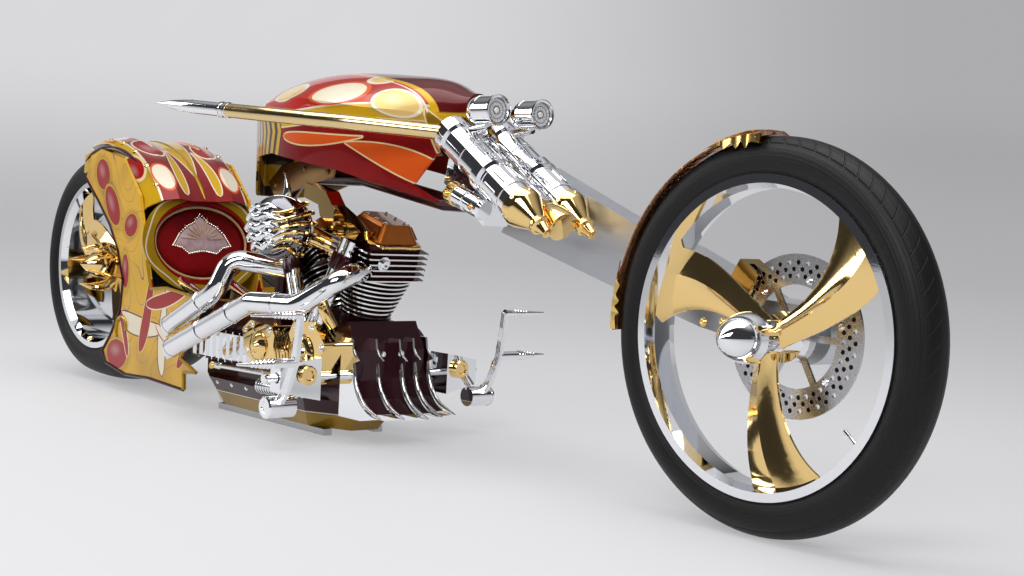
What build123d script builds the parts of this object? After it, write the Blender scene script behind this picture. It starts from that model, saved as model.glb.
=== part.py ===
from build123d import *
import math
import os

# Low show chopper with a long single-sided front fork, an open V-twin engine and a 300 mm
# rear tyre. Millimetres. +X is forward, +Y is the rider's left, +Z is up, and the origin is
# on the floor below the centre of the overall box. The machine stands level on its frame.

# Wheels and tyres
WHEELBASE = 2367.0
FRONT_TYRE_R = 347.5
FRONT_TYRE_W = 90.0
FRONT_TYRE_H = 75.5
FRONT_BEAD_R = FRONT_TYRE_R - FRONT_TYRE_H
FRONT_RIM_W = 80.0
REAR_TYRE_R = 333.5
REAR_TYRE_W = 300.0
REAR_TYRE_H = 102.5
REAR_BEAD_R = REAR_TYRE_R - REAR_TYRE_H
REAR_RIM_W = 278.0
RIM_WALL = 14.0
RIM_LIP = 5.0
RIM_LIP_RISE = 9.0
AXLE_R = 12.5
RUNNING_GAP = 0.05
SEAT_GAP = 0.3
MOVING_GAP = 5.0
OVERRUN = 20.0
NOSE_TIP_SHARE = 0.04

FRONT_AXLE_X = (WHEELBASE + REAR_TYRE_R - FRONT_TYRE_R) / 2
REAR_AXLE_X = FRONT_AXLE_X - WHEELBASE
FRONT_AXLE = (FRONT_AXLE_X, 0, FRONT_TYRE_R)
REAR_AXLE = (REAR_AXLE_X, 0, REAR_TYRE_R)

# Front hub, blades and brake
FRONT_HUB_R = 30.0
FRONT_HUB_IN = 58.0
FRONT_HUB_OUT = 52.0
FRONT_CAP_R = 45.0
FRONT_CAP_L = 76.0
BLADE_COUNT = 3
BLADE_START = 16.0
BLADE_SWEEP = 30.0
BLADE_ROOT_W = 48.0
BLADE_TIP_W = 166.0
BLADE_T = 40.0
BLADE_EDGE_T = 5.0
DISC_R = 146.0
DISC_IN_R = 92.0
DISC_T = 5.0
DISC_Y = 67.0
DISC_HOLE_R = 4.5
DISC_HOLES = 20
DISC_ARMS = 6
CALIPER_L = 92.0
CALIPER_H = 52.0
CALIPER_WALL = 9.0
CALIPER_ANGLE = 148.0

# Rear hub, blades and pulley
REAR_HUB_R = 42.0
REAR_HUB_HALF = 120.0
REAR_CAP_R = 40.0
REAR_CAP_L = 90.0
REAR_BLADE_W = 140.0
REAR_BLADE_ROOT_W = 52.0
REAR_BLADE_T = 40.0
REAR_BLADE_Y = -58.0
PULLEY_R = 118.0
PULLEY_T = 32.0
PULLEY_Y = 186.0
BELT_T = 4.0
DRIVE_PULLEY_R = 46.0
DRIVE_PULLEY_X = -560.0
DRIVE_PULLEY_Z = 196.0

# Steering and fork
RAKE = 32.05
STEER_X = 313.0
STEER_Z = 605.0
STEM_R = 14.0
HEAD_R = 32.0
HEAD_L = 120.0
PLATE_T = 22.0
LEG_OFFSET = 95.0
LEG_Y = 62.0
LEG_R = 39.0
LEG_L = 281.0
LEG_BACK = 36.0
CAP_T = 18.0
FOOT_SHARE = 1.7
CONE_R = 26.0
CONE_L = 46.0
CONE_NUT_R = 9.0
CONE_NUT_L = 20.0

# Front fork beam, on the left of the wheel
BEAM_Y = 104.0
BEAM_T = 56.0
BEAM_FLARE = 44.0
BEAM_X = 319.0
BEAM_Z = 296.0
BEAM_H = 344.0
BEAM_BOSS_R = 50.0

# Front fender
FENDER_GAP = 6.0
FENDER_T = 3.5
FENDER_W = 84.0
FENDER_DROP = 10.0
FENDER_FROM = 92.0
FENDER_TO = 183.0
FENDER_STAY_R = 9.0
FENDER_STAYS = (158.0, 172.0)

# Handlebars and lamps
BAR_ROOT_X = 344.0
BAR_ROOT_Y = 84.0
BAR_ROOT_Z = 700.0
BAR_ELBOW_X = 190.0
BAR_ELBOW_Y = 258.0
BAR_ELBOW_Z = 714.0
BAR_GRIP_X = 6.0
BAR_GRIP_Y = 328.0
BAR_GRIP_Z = 727.0
BAR_R = 16.0
BAR_BEND_R = 300.0
GRIP_L = 110.0
SPEAR_TIP_X = -325.0
SPEAR_TIP_Y = 403.0
SPEAR_TIP_Z = 752.0
SPEAR_R = 15.5
SPEAR_COLLAR_L = 95.0
LAMP_R = 31.0
LAMP_L = 96.0
LAMP_X = 485.0
LAMP_Y = 60.0
LAMP_Z = 747.0
LENS_T = 4.0
BEZEL_T = 5.0

# Fuel tank shell
TANK_FRONT_X = 350.0
TANK_L = 806.0
TANK_REAR_X = TANK_FRONT_X - TANK_L
TANK_TOP_Z = 846.0
TANK_H = 306.0
TANK_HALF_W = 196.0
TANK_WALL = 6.0

# Rear body and seat
BODY_HALF_W = 170.0
BODY_WALL = 8.0
FLANK_REAR_X = -1193.0
FLANK_L = 693.0
FLANK_LOW_Z = 47.0
FLANK_H = 613.0
CROWN_X = -1130.0
CROWN_Z = 296.0
CROWN_R = 400.0
CROWN_T = 5.0
CROWN_FROM = 36.0
CROWN_TO = 106.0
SEAT_X = -811.0
SEAT_Z = 417.0
SEAT_TILT = 80.0
SEAT_HALF_L = 106.0
SEAT_HALF_W = 146.0
SEAT_RIM_W = 36.0
SEAT_DEPTH = 42.0
SEAT_WALL = 8.0
SEAT_BACK_SHARE = 0.90
PAD_T = 28.0

# Frame
BASE_X = -600.0
BASE_L = 640.0
BASE_HALF_W = 130.0
BASE_FOOT_HALF_W = 84.0
BASE_H = 73.0
SKID_T = 15.0
SKID_W = 22.0
SKID_L = 488.0
SKID_X = -551.0
BACKBONE_R = 20.0
BACKBONE_DIP_X = 247.0
BACKBONE_DIP_Z = 556.0
BACKBONE_RISE_X = -60.0
BACKBONE_RISE_Z = 604.0
BACKBONE_TOP_X = -330.0
BACKBONE_TOP_Z = 606.0
BACKBONE_REAR_X = -385.0
BACKBONE_REAR_Z = 560.0
RAIL_R = 14.0
RAIL_Y = 70.0

# Engine
CRANK_X = -65.0
CRANK_Z = 180.0
CASE_HALF_W = 95.0
CASE_R = 106.0
FRONT_LEAN = 16.0
V_ANGLE = 45.0
CYL_START = 113.0
BARREL_L = 105.0
BARREL_R = 52.0
FIN_R = 90.0
FIN_LOW_R = 60.0
FIN_T = 3.4
BARREL_FINS = 9
HEAD_START = CYL_START + BARREL_L
HEAD_H = 78.0
HEAD_FINS = 6
HEAD_LX = 164.0
HEAD_LY = 178.0
ROCKER_H = 50.0
ROCKER_LX = 150.0
ROCKER_LY = 124.0
PUSHROD_R = 12.0
PUSHROD_LOW_Y = -138.0
PUSHROD_HIGH_Y = -99.0
PUSHROD_LOW_Z = 262.0
PUSHROD_PITCH = 27.0
CAM_T = 62.0
AIR_X = -105.0
AIR_Y = -205.0
AIR_Z = 480.0
AIR_R = 74.0
AIR_T = 46.0
AIR_TURN = 37.0
ARM_X = -165.0
ARM_LOW_Z = 455.0
ARM_L = 240.0
ARM_H = 132.0
ARM_PLATE_T = 38.0

# Exhaust
PIPE_R = 24.0
PIPE_WALL = 2.5
TIP_BORE_L = 110.0

# Gearbox and side covers
BOX_X = -600.0
BOX_L = 345.0
BOX_H = 190.0
BOX_HALF_W = 92.0
COVER_T = 50.0
COVER_RIBS = 9
COVER_RIB_T = 5.0
PRIMARY_T = 62.0

# Front chin with its blades
CHIN_X = 60.0
CHIN_Z = 60.0
CHIN_L = 130.0
CHIN_H = 180.0
CHIN_BLADE_T = 5.0
CHIN_PITCH = 52.0
CHIN_BLADES = 5
CHIN_STEP = 18.0

# Foot controls
PEG_TIP_Y = 428.0
PEG_UPPER_TIP_Y = 408.0
PEG_R = 9.0
LEVER_X = 50.0
LEVER_Y = 286.0
LEVER_Z = 92.0
LEVER_L = 83.0
LEVER_H = 208.0
LEVER_W = 20.0
LEVER_T = 10.0
PIVOT_R = 24.0
PIVOT_L = 64.0
SHAFT_R = 9.0
SHAFT_X = 12.0
SHAFT_Z = 150.0
BRACKET_L = 66.0
BRACKET_H = 96.0
BRACKET_Y = 178.0

# Swingarm
ARM_Y = 212.0
ARM_T = 44.0
ARM_PIVOT_X = -440.0
ARM_PIVOT_Z = 250.0
ARM_PIVOT_R = 46.0
ARM_HUB_R = 66.0

STEER_DIR = Vector(math.cos(math.radians(RAKE)), 0, -math.sin(math.radians(RAKE)))
STEER_UP = Vector(math.sin(math.radians(RAKE)), 0, math.cos(math.radians(RAKE)))
STEER_POINT = Vector(STEER_X, 0, STEER_Z)


# Small shapes shared by the pieces

def rod(start, end, radius, end_radius=None):
    """A round bar or cone between two points."""
    start, end = Vector(start), Vector(end)
    plane = Plane(origin=start, z_dir=end - start)
    length = (end - start).length
    if end_radius is None or end_radius == radius:
        return Solid.make_cylinder(radius, length, plane)
    return Solid.make_cone(radius, end_radius, length, plane)


def turned(origin, direction, stations, nose=0.0):
    """A turned piece from (distance, radius) stations, ending in a pointed nose if asked."""
    end, radius = stations[-1]
    lines = Polyline((0, end), (0, stations[0][0]), *[(r, d) for d, r in stations])
    if nose > 0:
        tip = radius * NOSE_TIP_SHARE
        fall = radius - tip
        arc_r = (fall * fall + nose * nose) / (2 * fall)
        half_turn = math.asin(min(nose / arc_r, 1)) / 2
        bulge = (radius - arc_r + arc_r * math.cos(half_turn), end + arc_r * math.sin(half_turn))
        lines += ThreePointArc((radius, end), bulge, (tip, end + nose))
        lines += Polyline((tip, end + nose), (0, end + nose), (0, end))
    else:
        lines += Line((radius, end), (0, end))
    profile = make_face(Plane.XZ * lines)
    return Plane(origin=Vector(origin), z_dir=Vector(direction)).location * revolve(profile, Axis.Z)


def side_face(points, y, fillet_r=0):
    """A flat outline in the XZ plane at the given y."""
    plane = Plane(origin=(0, y, 0), x_dir=(1, 0, 0), z_dir=(0, -1, 0))
    line = Polyline(*points, close=True)
    if fillet_r > 0:
        line = FilletPolyline(*points, radius=fillet_r, close=True)
    return make_face(plane * line)


def slab(points, y_low, y_high, fillet_r=0):
    """A plate with an XZ outline, from y_low to y_high."""
    return extrude(side_face(points, y_high, fillet_r), amount=y_high - y_low, dir=(0, -1, 0))


def outline(shares, x, z, length, height):
    """Points of an outline from shares of its length and height."""
    return [(x + length * a, z + height * b) for a, b in shares]


def block(low, high):
    """A rectangular block between two corners."""
    size = [high[i] - low[i] for i in range(3)]
    centre = [(high[i] + low[i]) / 2 for i in range(3)]
    return Pos(*centre) * Box(*size)


def both(first, second):
    """Two like pieces as one node."""
    return Compound(children=first.solids() + second.solids())


def mirror_y(shape):
    """The same piece on the other side of the machine."""
    return mirror(shape, about=Plane.XZ)


def wheel_plane(axle):
    """The plane of a wheel: local z along +Y, so turned pieces share the axle."""
    return Plane(origin=axle, x_dir=(1, 0, 0), z_dir=(0, 1, 0))


def wheel_turned(axle, lines):
    """Revolve a closed (y, radius) section about a wheel's axle."""
    profile = make_face(Plane.YZ * lines)
    return Pos(*axle) * revolve(profile, Axis.Y)


def tyre(axle, radius, width, bead_r, rim_w, shoulder_share, cheek_share):
    """A tyre: bead wall, round cheek and crowned tread."""
    half = rim_w / 2 - RIM_LIP - SEAT_GAP
    depth = radius - bead_r
    foot = bead_r + RIM_LIP_RISE + SEAT_GAP
    shoulder = (width / 2 * shoulder_share, radius - depth * (1 - cheek_share))
    belly = (width / 2, bead_r + depth * cheek_share / 2 + RIM_LIP_RISE / 2)
    arcs = Polyline((-half, foot), (-half, bead_r), (half, bead_r), (half, foot))
    arcs += ThreePointArc((half, foot), belly, shoulder)
    arcs += ThreePointArc(shoulder, (0, radius), (-shoulder[0], shoulder[1]))
    arcs += ThreePointArc((-shoulder[0], shoulder[1]), (-belly[0], belly[1]), (-half, foot))
    return wheel_turned(axle, arcs)


def rim(axle, bead_r, rim_w, dish_share):
    """A rim: bead seat, raised lips and a drop inside."""
    half = rim_w / 2
    points = [
        (-half, bead_r - RIM_WALL / 2), (-half, bead_r + RIM_LIP_RISE),
        (-half + RIM_LIP, bead_r + RIM_LIP_RISE), (-half + RIM_LIP, bead_r),
        (half - RIM_LIP, bead_r), (half - RIM_LIP, bead_r + RIM_LIP_RISE),
        (half, bead_r + RIM_LIP_RISE), (half, bead_r - RIM_WALL / 2),
        (half * dish_share, bead_r - RIM_WALL), (-half * dish_share, bead_r - RIM_WALL),
    ]
    return wheel_turned(axle, Polyline(*points, close=True))


# Each row: share of the reach from hub to rim, share of the sweep angle, share of the width
# gained from root to tip, ridge place as a share of the width, share of the thickness.
BLADE_SHARES = [
    (0.00, 0.00, 0.00, 0.50, 1.00),
    (0.38, 0.42, 0.17, 0.46, 0.95),
    (0.70, 0.66, 0.52, 0.40, 0.80),
    (1.00, 1.00, 1.00, 0.34, 0.55),
]
BLADE_SCOOP_SHARE = 0.16


def blade(axle, y, root_r, tip_r, root_w, tip_w, thick, angle, sweep):
    """A swirl blade: a sharp ridge between a narrow vane and a hollow wide one."""
    sections = []
    edge = BLADE_EDGE_T / 2
    for reach_share, sweep_share, width_share, ridge_share, thick_share in BLADE_SHARES:
        r = root_r + (tip_r - root_r) * reach_share
        a = math.radians(angle + sweep * sweep_share)
        half = (root_w + (tip_w - root_w) * width_share) / 2
        rise = thick * thick_share / 2
        out = Vector(math.cos(a), 0, math.sin(a))
        along = Vector(-math.sin(a), 0, math.cos(a))
        plane = Plane(origin=Vector(*axle) + out * r + Vector(0, y, 0), x_dir=along, z_dir=out)
        ridge = half * (2 * ridge_share - 1)
        front = Polyline((-half, -edge), (-half, edge), (ridge, rise))
        scoop = ThreePointArc((ridge, rise), ((ridge + half) / 2, rise * BLADE_SCOOP_SHARE + edge),
                              (half, edge))
        back = ThreePointArc((half, -edge), (0, -rise), (-half, -edge))
        face = make_face(plane * (front + scoop + Line((half, edge), (half, -edge)) + back))
        sections.append(face)
    return loft(sections)


def blade_set(axle, y, hub_r, rim_r, root_w, tip_w, thick, start, sweep):
    """The blades of one wheel, trimmed to the hub and to the inside of the rim."""
    plane = wheel_plane((axle[0], y - thick, axle[2]))
    room = Solid.make_cylinder(rim_r, 2 * thick, plane)
    room -= Solid.make_cylinder(hub_r, 2 * thick, plane)
    blades = []
    for i in range(BLADE_COUNT):
        raw = blade(axle, y, hub_r - thick / 4, rim_r + thick / 4, root_w, tip_w, thick,
                    start + i * 360 / BLADE_COUNT, sweep)
        blades.append(raw & room)
    return Compound(children=[s for b in blades for s in b.solids()])


def make_front_wheel():
    """Front tyre, rim, blades with hub, and drilled disc."""
    tyre_piece = tyre(FRONT_AXLE, FRONT_TYRE_R, FRONT_TYRE_W, FRONT_BEAD_R, FRONT_RIM_W, 0.74, 0.80)
    rim_piece = rim(FRONT_AXLE, FRONT_BEAD_R, FRONT_RIM_W, 0.5)
    x, z = FRONT_AXLE_X, FRONT_TYRE_R
    out, step = -FRONT_HUB_OUT, FRONT_HUB_R * 1.14
    stations = [(out, FRONT_HUB_R * 1.5), (out + CAP_T, FRONT_HUB_R * 1.5), (out + CAP_T, FRONT_HUB_R),
                (FRONT_HUB_IN - CAP_T * 1.6, FRONT_HUB_R), (FRONT_HUB_IN - CAP_T * 1.6, step),
                (FRONT_HUB_IN - CAP_T * 0.8, step), (FRONT_HUB_IN - CAP_T * 0.8, FRONT_HUB_R * 1.28),
                (FRONT_HUB_IN, FRONT_HUB_R * 1.28), (FRONT_HUB_IN, FRONT_CAP_R)]
    hub = turned((x, 0, z), (0, -1, 0), stations, FRONT_CAP_L)
    hub -= rod((x, -FRONT_HUB_IN + MOVING_GAP / 2, z), (x, FRONT_HUB_OUT + OVERRUN, z),
               AXLE_R + RUNNING_GAP)
    blades = blade_set(FRONT_AXLE, 0, FRONT_HUB_R, FRONT_BEAD_R - RIM_WALL, BLADE_ROOT_W,
                       BLADE_TIP_W, BLADE_T, BLADE_START, BLADE_SWEEP)
    disc = drilled_disc()
    return {"front_tyre": tyre_piece, "front_rim": rim_piece, "front_blades": blades,
            "front_hub": hub, "front_disc": disc}


def drilled_disc():
    """A brake ring with two rows of holes, carried by curved arms on the hub."""
    x, z = FRONT_AXLE_X, FRONT_TYRE_R
    low, high = DISC_Y - DISC_T / 2, DISC_Y + DISC_T / 2
    ring = rod((x, low, z), (x, high, z), DISC_R) - rod((x, low, z), (x, high, z), DISC_IN_R)
    for row_share, phase_share in [(0.28, 0.0), (0.72, 0.5)]:
        r = DISC_IN_R + (DISC_R - DISC_IN_R) * row_share
        for i in range(DISC_HOLES):
            a = math.radians((i + phase_share) * 360 / DISC_HOLES)
            px, pz = x + r * math.cos(a), z + r * math.sin(a)
            ring -= rod((px, low, pz), (px, high, pz), DISC_HOLE_R)
    root = FRONT_HUB_R * 1.5
    carrier = rod((x, FRONT_HUB_OUT, z), (x, high, z), root)
    for i in range(DISC_ARMS):
        a = i * 360 / DISC_ARMS
        arm = block((0, 0, 0), (DISC_IN_R + DISC_T, DISC_T * 2.4, DISC_T))
        arm = Pos(0, -DISC_T * 1.2, -DISC_T / 2) * arm
        carrier += wheel_plane((x, DISC_Y, z)).location * (Rot(0, 0, a) * arm)
    piece = carrier + ring
    piece -= rod((x, FRONT_HUB_OUT - OVERRUN, z), (x, high + OVERRUN, z), AXLE_R + RUNNING_GAP)
    return piece


def make_rear_wheel():
    """Rear tyre, deep rim, blades, hub with its spike and the belt pulley."""
    x, z = REAR_AXLE_X, REAR_TYRE_R
    tyre_piece = tyre(REAR_AXLE, REAR_TYRE_R, REAR_TYRE_W, REAR_BEAD_R, REAR_RIM_W, 0.86, 0.72)
    rim_piece = rim(REAR_AXLE, REAR_BEAD_R, REAR_RIM_W, 0.86)
    face = -REAR_BLADE_Y + REAR_BLADE_T * 0.8
    stations = [(-PULLEY_Y + PULLEY_T / 2, REAR_HUB_R * 0.8), (-REAR_HUB_HALF, REAR_HUB_R * 0.8),
                (-REAR_HUB_HALF, REAR_HUB_R), (REAR_HUB_HALF / 4, REAR_HUB_R),
                (REAR_HUB_HALF / 4, REAR_HUB_R * 1.1), (face, REAR_HUB_R * 1.1), (face, REAR_CAP_R)]
    hub = turned((x, 0, z), (0, -1, 0), stations, REAR_CAP_L)
    bore = rod((x, -REAR_HUB_HALF / 2 + MOVING_GAP / 2, z), (x, PULLEY_Y + PULLEY_T, z),
               AXLE_R + RUNNING_GAP)
    hub -= bore
    blades = blade_set(REAR_AXLE, REAR_BLADE_Y, REAR_HUB_R * 1.1, REAR_BEAD_R - RIM_WALL,
                       REAR_BLADE_ROOT_W, REAR_BLADE_W, REAR_BLADE_T, BLADE_START, BLADE_SWEEP)
    low, high = PULLEY_Y - PULLEY_T / 2, PULLEY_Y + PULLEY_T / 2
    pulley = rod((x, low, z), (x, high, z), PULLEY_R)
    for i in range(DISC_ARMS):
        a = math.radians(i * 360 / DISC_ARMS)
        px, pz = x + PULLEY_R * 0.62 * math.cos(a), z + PULLEY_R * 0.62 * math.sin(a)
        pulley -= rod((px, low, pz), (px, high, pz), PULLEY_R * 0.2)
    pulley -= bore
    return {"rear_tyre": tyre_piece, "rear_rim": rim_piece, "rear_blades": blades,
            "rear_hub": hub, "rear_pulley": pulley}


# Steering head frame: distances along the steering axis and square to it.

def steer(along, up=0.0, y=0.0):
    """A point given along the steering axis, square to it, and to the left."""
    return STEER_POINT + STEER_DIR * along + STEER_UP * up + Vector(0, y, 0)


def steer_plate(along, corners, thick):
    """A clamp plate square to the steering axis, from (y, up) corners."""
    points = [steer(along, up, y) for y, up in corners]
    face = Face(Wire.make_polygon(points, close=True))
    return extrude(face, amount=thick, dir=STEER_DIR)


def make_fork():
    """Clamps, polished legs with gold ends, and the beam that carries the wheel."""
    top_at = -PLATE_T - SEAT_GAP
    low_at = HEAD_L + SEAT_GAP
    reach = LEG_OFFSET
    plates = []
    for at in (top_at, low_at):
        foot = STEM_R * FOOT_SHARE
        plate = steer_plate(at, [(-LEG_Y, reach), (LEG_Y, reach), (HEAD_R, -foot), (-HEAD_R, -foot)],
                            PLATE_T)
        for side in (-1, 1):
            plate += rod(steer(at, reach, side * LEG_Y), steer(at + PLATE_T, reach, side * LEG_Y),
                         LEG_R * 1.16)
        plates.append(plate)
    low = plates[1] + steer_plate(low_at, [(0, reach), (BEAM_Y, reach), (BEAM_Y, 0), (0, 0)], PLATE_T)
    crown = plates[0] + low
    crown += rod(steer(top_at), steer(low_at + PLATE_T), STEM_R)
    legs, caps = [], []
    for side in (-1, 1):
        y = side * LEG_Y
        start, end = -LEG_BACK, LEG_L - LEG_BACK
        body = rod(steer(start, reach, y), steer(end, reach, y), LEG_R)
        legs.append(body)
        crown -= rod(steer(start - OVERRUN, reach, y), steer(end, reach, y), LEG_R)
        cap = rod(steer(end, reach, y), steer(end + CAP_T, reach, y), LEG_R)
        cap += rod(steer(end + CAP_T, reach, y), steer(end + CAP_T + CONE_L, reach, y),
                   CONE_R, CONE_R / 3)
        cap += rod(steer(end + CAP_T + CONE_L, reach, y),
                   steer(end + CAP_T + CONE_L + CONE_NUT_L, reach, y), CONE_NUT_R)
        caps.append(cap)
    under, over = reach - LEG_R * 0.7, reach + LEG_R * 0.4
    bridge = steer_plate(LEG_L - LEG_BACK, [(-LEG_Y, under), (LEG_Y, under), (LEG_Y, over),
                                            (-LEG_Y, over)], CAP_T)
    caps.append(bridge)
    centre = LEG_L - LEG_BACK + CAP_T
    caps.append(rod(steer(centre, reach, 0), steer(centre + CONE_L * 1.2, reach, 0), CONE_R * 0.6,
                    CONE_R))
    cap_piece = caps[0] + caps[1] + caps[2] + caps[3]
    return {"fork_crown": crown, "fork_legs": Compound(children=legs), "fork_caps": cap_piece,
            "fork_beam": make_beam(), "front_axle": make_front_axle()}


# Beam outline, as shares of its length to the axle and of its height
BEAM_SHARES = [
    (0.000, 0.581), (0.141, 1.000), (0.853, 0.320), (1.000, 0.302),
    (1.000, 0.000), (0.765, 0.105), (0.700, 0.130), (0.421, 0.302),
]


def make_beam():
    """A tapered box beam whose outer face flares beside the wheel."""
    length = FRONT_AXLE_X - BEAM_X
    points = outline(BEAM_SHARES, BEAM_X, BEAM_Z, length, BEAM_H)
    near = BEAM_Y
    beam = slab(points, near, near + BEAM_T + BEAM_FLARE)
    cut_share = 0.45
    plan = [(BEAM_X - OVERRUN, near + BEAM_T), (BEAM_X + length * cut_share, near + BEAM_T),
            (BEAM_X + length * (cut_share + 0.15), near + BEAM_T + BEAM_FLARE),
            (BEAM_X + length * (cut_share + 0.15), near + BEAM_T + BEAM_FLARE + OVERRUN),
            (BEAM_X - OVERRUN, near + BEAM_T + BEAM_FLARE + OVERRUN)]
    cutter = extrude(make_face(Polyline(*plan, close=True)), amount=BEAM_Z + 2 * BEAM_H)
    beam -= cutter
    boss = rod((FRONT_AXLE_X, near, FRONT_TYRE_R), (FRONT_AXLE_X, near + BEAM_T, FRONT_TYRE_R),
               BEAM_BOSS_R)
    beam += boss
    beam -= rod((FRONT_AXLE_X, near - OVERRUN, FRONT_TYRE_R),
                (FRONT_AXLE_X, near + BEAM_T, FRONT_TYRE_R), AXLE_R)
    return beam


def make_front_axle():
    """The axle stub that the beam carries."""
    end = -FRONT_HUB_IN + MOVING_GAP
    axle = rod((FRONT_AXLE_X, end, FRONT_TYRE_R), (FRONT_AXLE_X, BEAM_Y + BEAM_T, FRONT_TYRE_R),
               AXLE_R)
    high = DISC_Y + DISC_T / 2 + MOVING_GAP
    axle += rod((FRONT_AXLE_X, high, FRONT_TYRE_R), (FRONT_AXLE_X, BEAM_Y, FRONT_TYRE_R),
                AXLE_R * 2)
    return axle


def make_front_caliper():
    """A caliper on the beam that straddles the disc."""
    low = DISC_Y - DISC_T / 2 - MOVING_GAP - CALIPER_WALL
    body = block((-CALIPER_L / 2, low, -CALIPER_H / 2), (CALIPER_L / 2, BEAM_Y, CALIPER_H / 2))
    room = block((-CALIPER_L, DISC_Y - DISC_T / 2 - MOVING_GAP, -CALIPER_H),
                 (CALIPER_L, DISC_Y + DISC_T / 2 + MOVING_GAP, CALIPER_H * 0.2))
    a = math.radians(CALIPER_ANGLE)
    turn = Rot(0, 90 - CALIPER_ANGLE, 0)
    place = Pos(FRONT_AXLE_X + DISC_R * math.cos(a), 0, FRONT_TYRE_R + DISC_R * math.sin(a))
    return place * (turn * (body - room))


def make_front_fender():
    """A slim strip that hugs the tread, with two stays to the beam."""
    r_in = FRONT_TYRE_R + FENDER_GAP
    r_out = r_in + FENDER_T
    half = FENDER_W / 2
    points = [(-half, r_in - FENDER_DROP), (-half, r_out - FENDER_DROP), (-half / 2, r_out),
              (half / 2, r_out), (half, r_out - FENDER_DROP), (half, r_in - FENDER_DROP),
              (half / 2, r_in), (-half / 2, r_in)]
    face = make_face(Plane.YZ * Polyline(*points, close=True))
    arc = revolve(face, Axis.Y, revolution_arc=FENDER_TO - FENDER_FROM)
    strip = Pos(*FRONT_AXLE) * (Rot(0, 90 - FENDER_TO, 0) * arc)
    for angle in FENDER_STAYS:
        a = math.radians(angle)
        r = r_in + FENDER_T / 2
        x, z = FRONT_AXLE_X + r * math.cos(a), FRONT_TYRE_R + r * math.sin(a)
        stay = rod((x, half * 0.7, z), (x, BEAM_Y, z), FENDER_STAY_R)
        strip += stay
    return strip


def make_bars():
    """Swept bars from the top clamp, each with a chrome spear at its end."""
    bars, spears = [], []
    for side in (-1, 1):
        root = Vector(BAR_ROOT_X, side * BAR_ROOT_Y, BAR_ROOT_Z)
        elbow = Vector(BAR_ELBOW_X, side * BAR_ELBOW_Y, BAR_ELBOW_Z)
        grip = Vector(BAR_GRIP_X, side * BAR_GRIP_Y, BAR_GRIP_Z)
        end = Vector(SPEAR_TIP_X, side * SPEAR_TIP_Y, SPEAR_TIP_Z)
        way = (end - grip).normalized()
        joint = grip + way * GRIP_L
        path = FilletPolyline(root, elbow, grip, joint, radius=BAR_BEND_R)
        bars.append(sweep(Plane(origin=root, z_dir=path % 0) * Circle(BAR_R), path=path))
        nose = (end - joint).length - SPEAR_COLLAR_L
        spears.append(turned(joint, way, [(0, SPEAR_R), (SPEAR_COLLAR_L, SPEAR_R)], nose))
    return {"handlebars": Compound(children=[s for bar in bars for s in bar.solids()]),
            "bar_spears": Compound(children=[s for spear in spears for s in spear.solids()]),
            "bar_clamp": bar_clamp()}


def bar_clamp():
    """The cross bar over the legs that holds both bars and the lamp bracket."""
    half = BAR_ROOT_Y
    bar = rod((BAR_ROOT_X, -half, BAR_ROOT_Z), (BAR_ROOT_X, half, BAR_ROOT_Z), BAR_R)
    for side in (-1, 1):
        bar += rod((BAR_ROOT_X, side * LAMP_Y, BAR_ROOT_Z),
                   (LAMP_X - LAMP_L * 0.3, side * LAMP_Y, LAMP_Z - LAMP_R), PEG_R)
    return bar


def make_lamps():
    """Two bullet lamps with glass lenses behind a bezel."""
    shells, lenses = [], []
    for side in (-1, 1):
        y = side * LAMP_Y
        front = Vector(LAMP_X, y, LAMP_Z)
        shell = turned(front, (-1, 0, 0), [(0, LAMP_R), (LAMP_L * 0.5, LAMP_R)], LAMP_L * 0.5)
        shell -= rod(front - Vector(LAMP_L * 0.4, 0, 0), front + Vector(LENS_T, 0, 0),
                     LAMP_R - BEZEL_T)
        shells.append(shell)
        at = front - Vector(BEZEL_T + LENS_T, 0, 0)
        lenses.append(rod(at, at + Vector(LENS_T, 0, 0), LAMP_R - BEZEL_T))
    return {"lamps": both(*shells), "lamp_lenses": Compound(children=lenses)}


# Tank sections: share of the length, then as shares: top height, crease height, lower height,
# crease half width, lower half width
TANK_SHARES = [
    (0.000, 0.530, 0.400, 0.010, 0.16, 0.15),
    (0.020, 0.690, 0.530, 0.010, 0.32, 0.30),
    (0.070, 0.805, 0.620, 0.010, 0.48, 0.46),
    (0.165, 0.900, 0.700, 0.010, 0.70, 0.66),
    (0.295, 0.966, 0.742, 0.010, 0.90, 0.85),
    (0.442, 1.000, 0.768, 0.010, 0.98, 0.92),
    (0.603, 0.990, 0.740, 0.010, 0.93, 0.87),
    (0.760, 0.958, 0.693, 0.010, 0.74, 0.70),
    (0.888, 0.905, 0.660, 0.010, 0.48, 0.46),
    (1.000, 0.815, 0.620, 0.010, 0.14, 0.13),
]
# Lower edge of the tank in side view: a short hanging lobe at the rear, an arch, then a straight run
TANK_EDGE_SHARES = [
    (-0.05, -0.10), (-0.05, 0.036), (0.030, 0.036), (0.060, 0.060), (0.095, 0.180), (0.132, 0.278),
    (0.194, 0.343), (0.330, 0.363), (0.650, 0.245), (0.950, 0.045), (1.05, -0.02), (1.05, -0.10),
]


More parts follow.
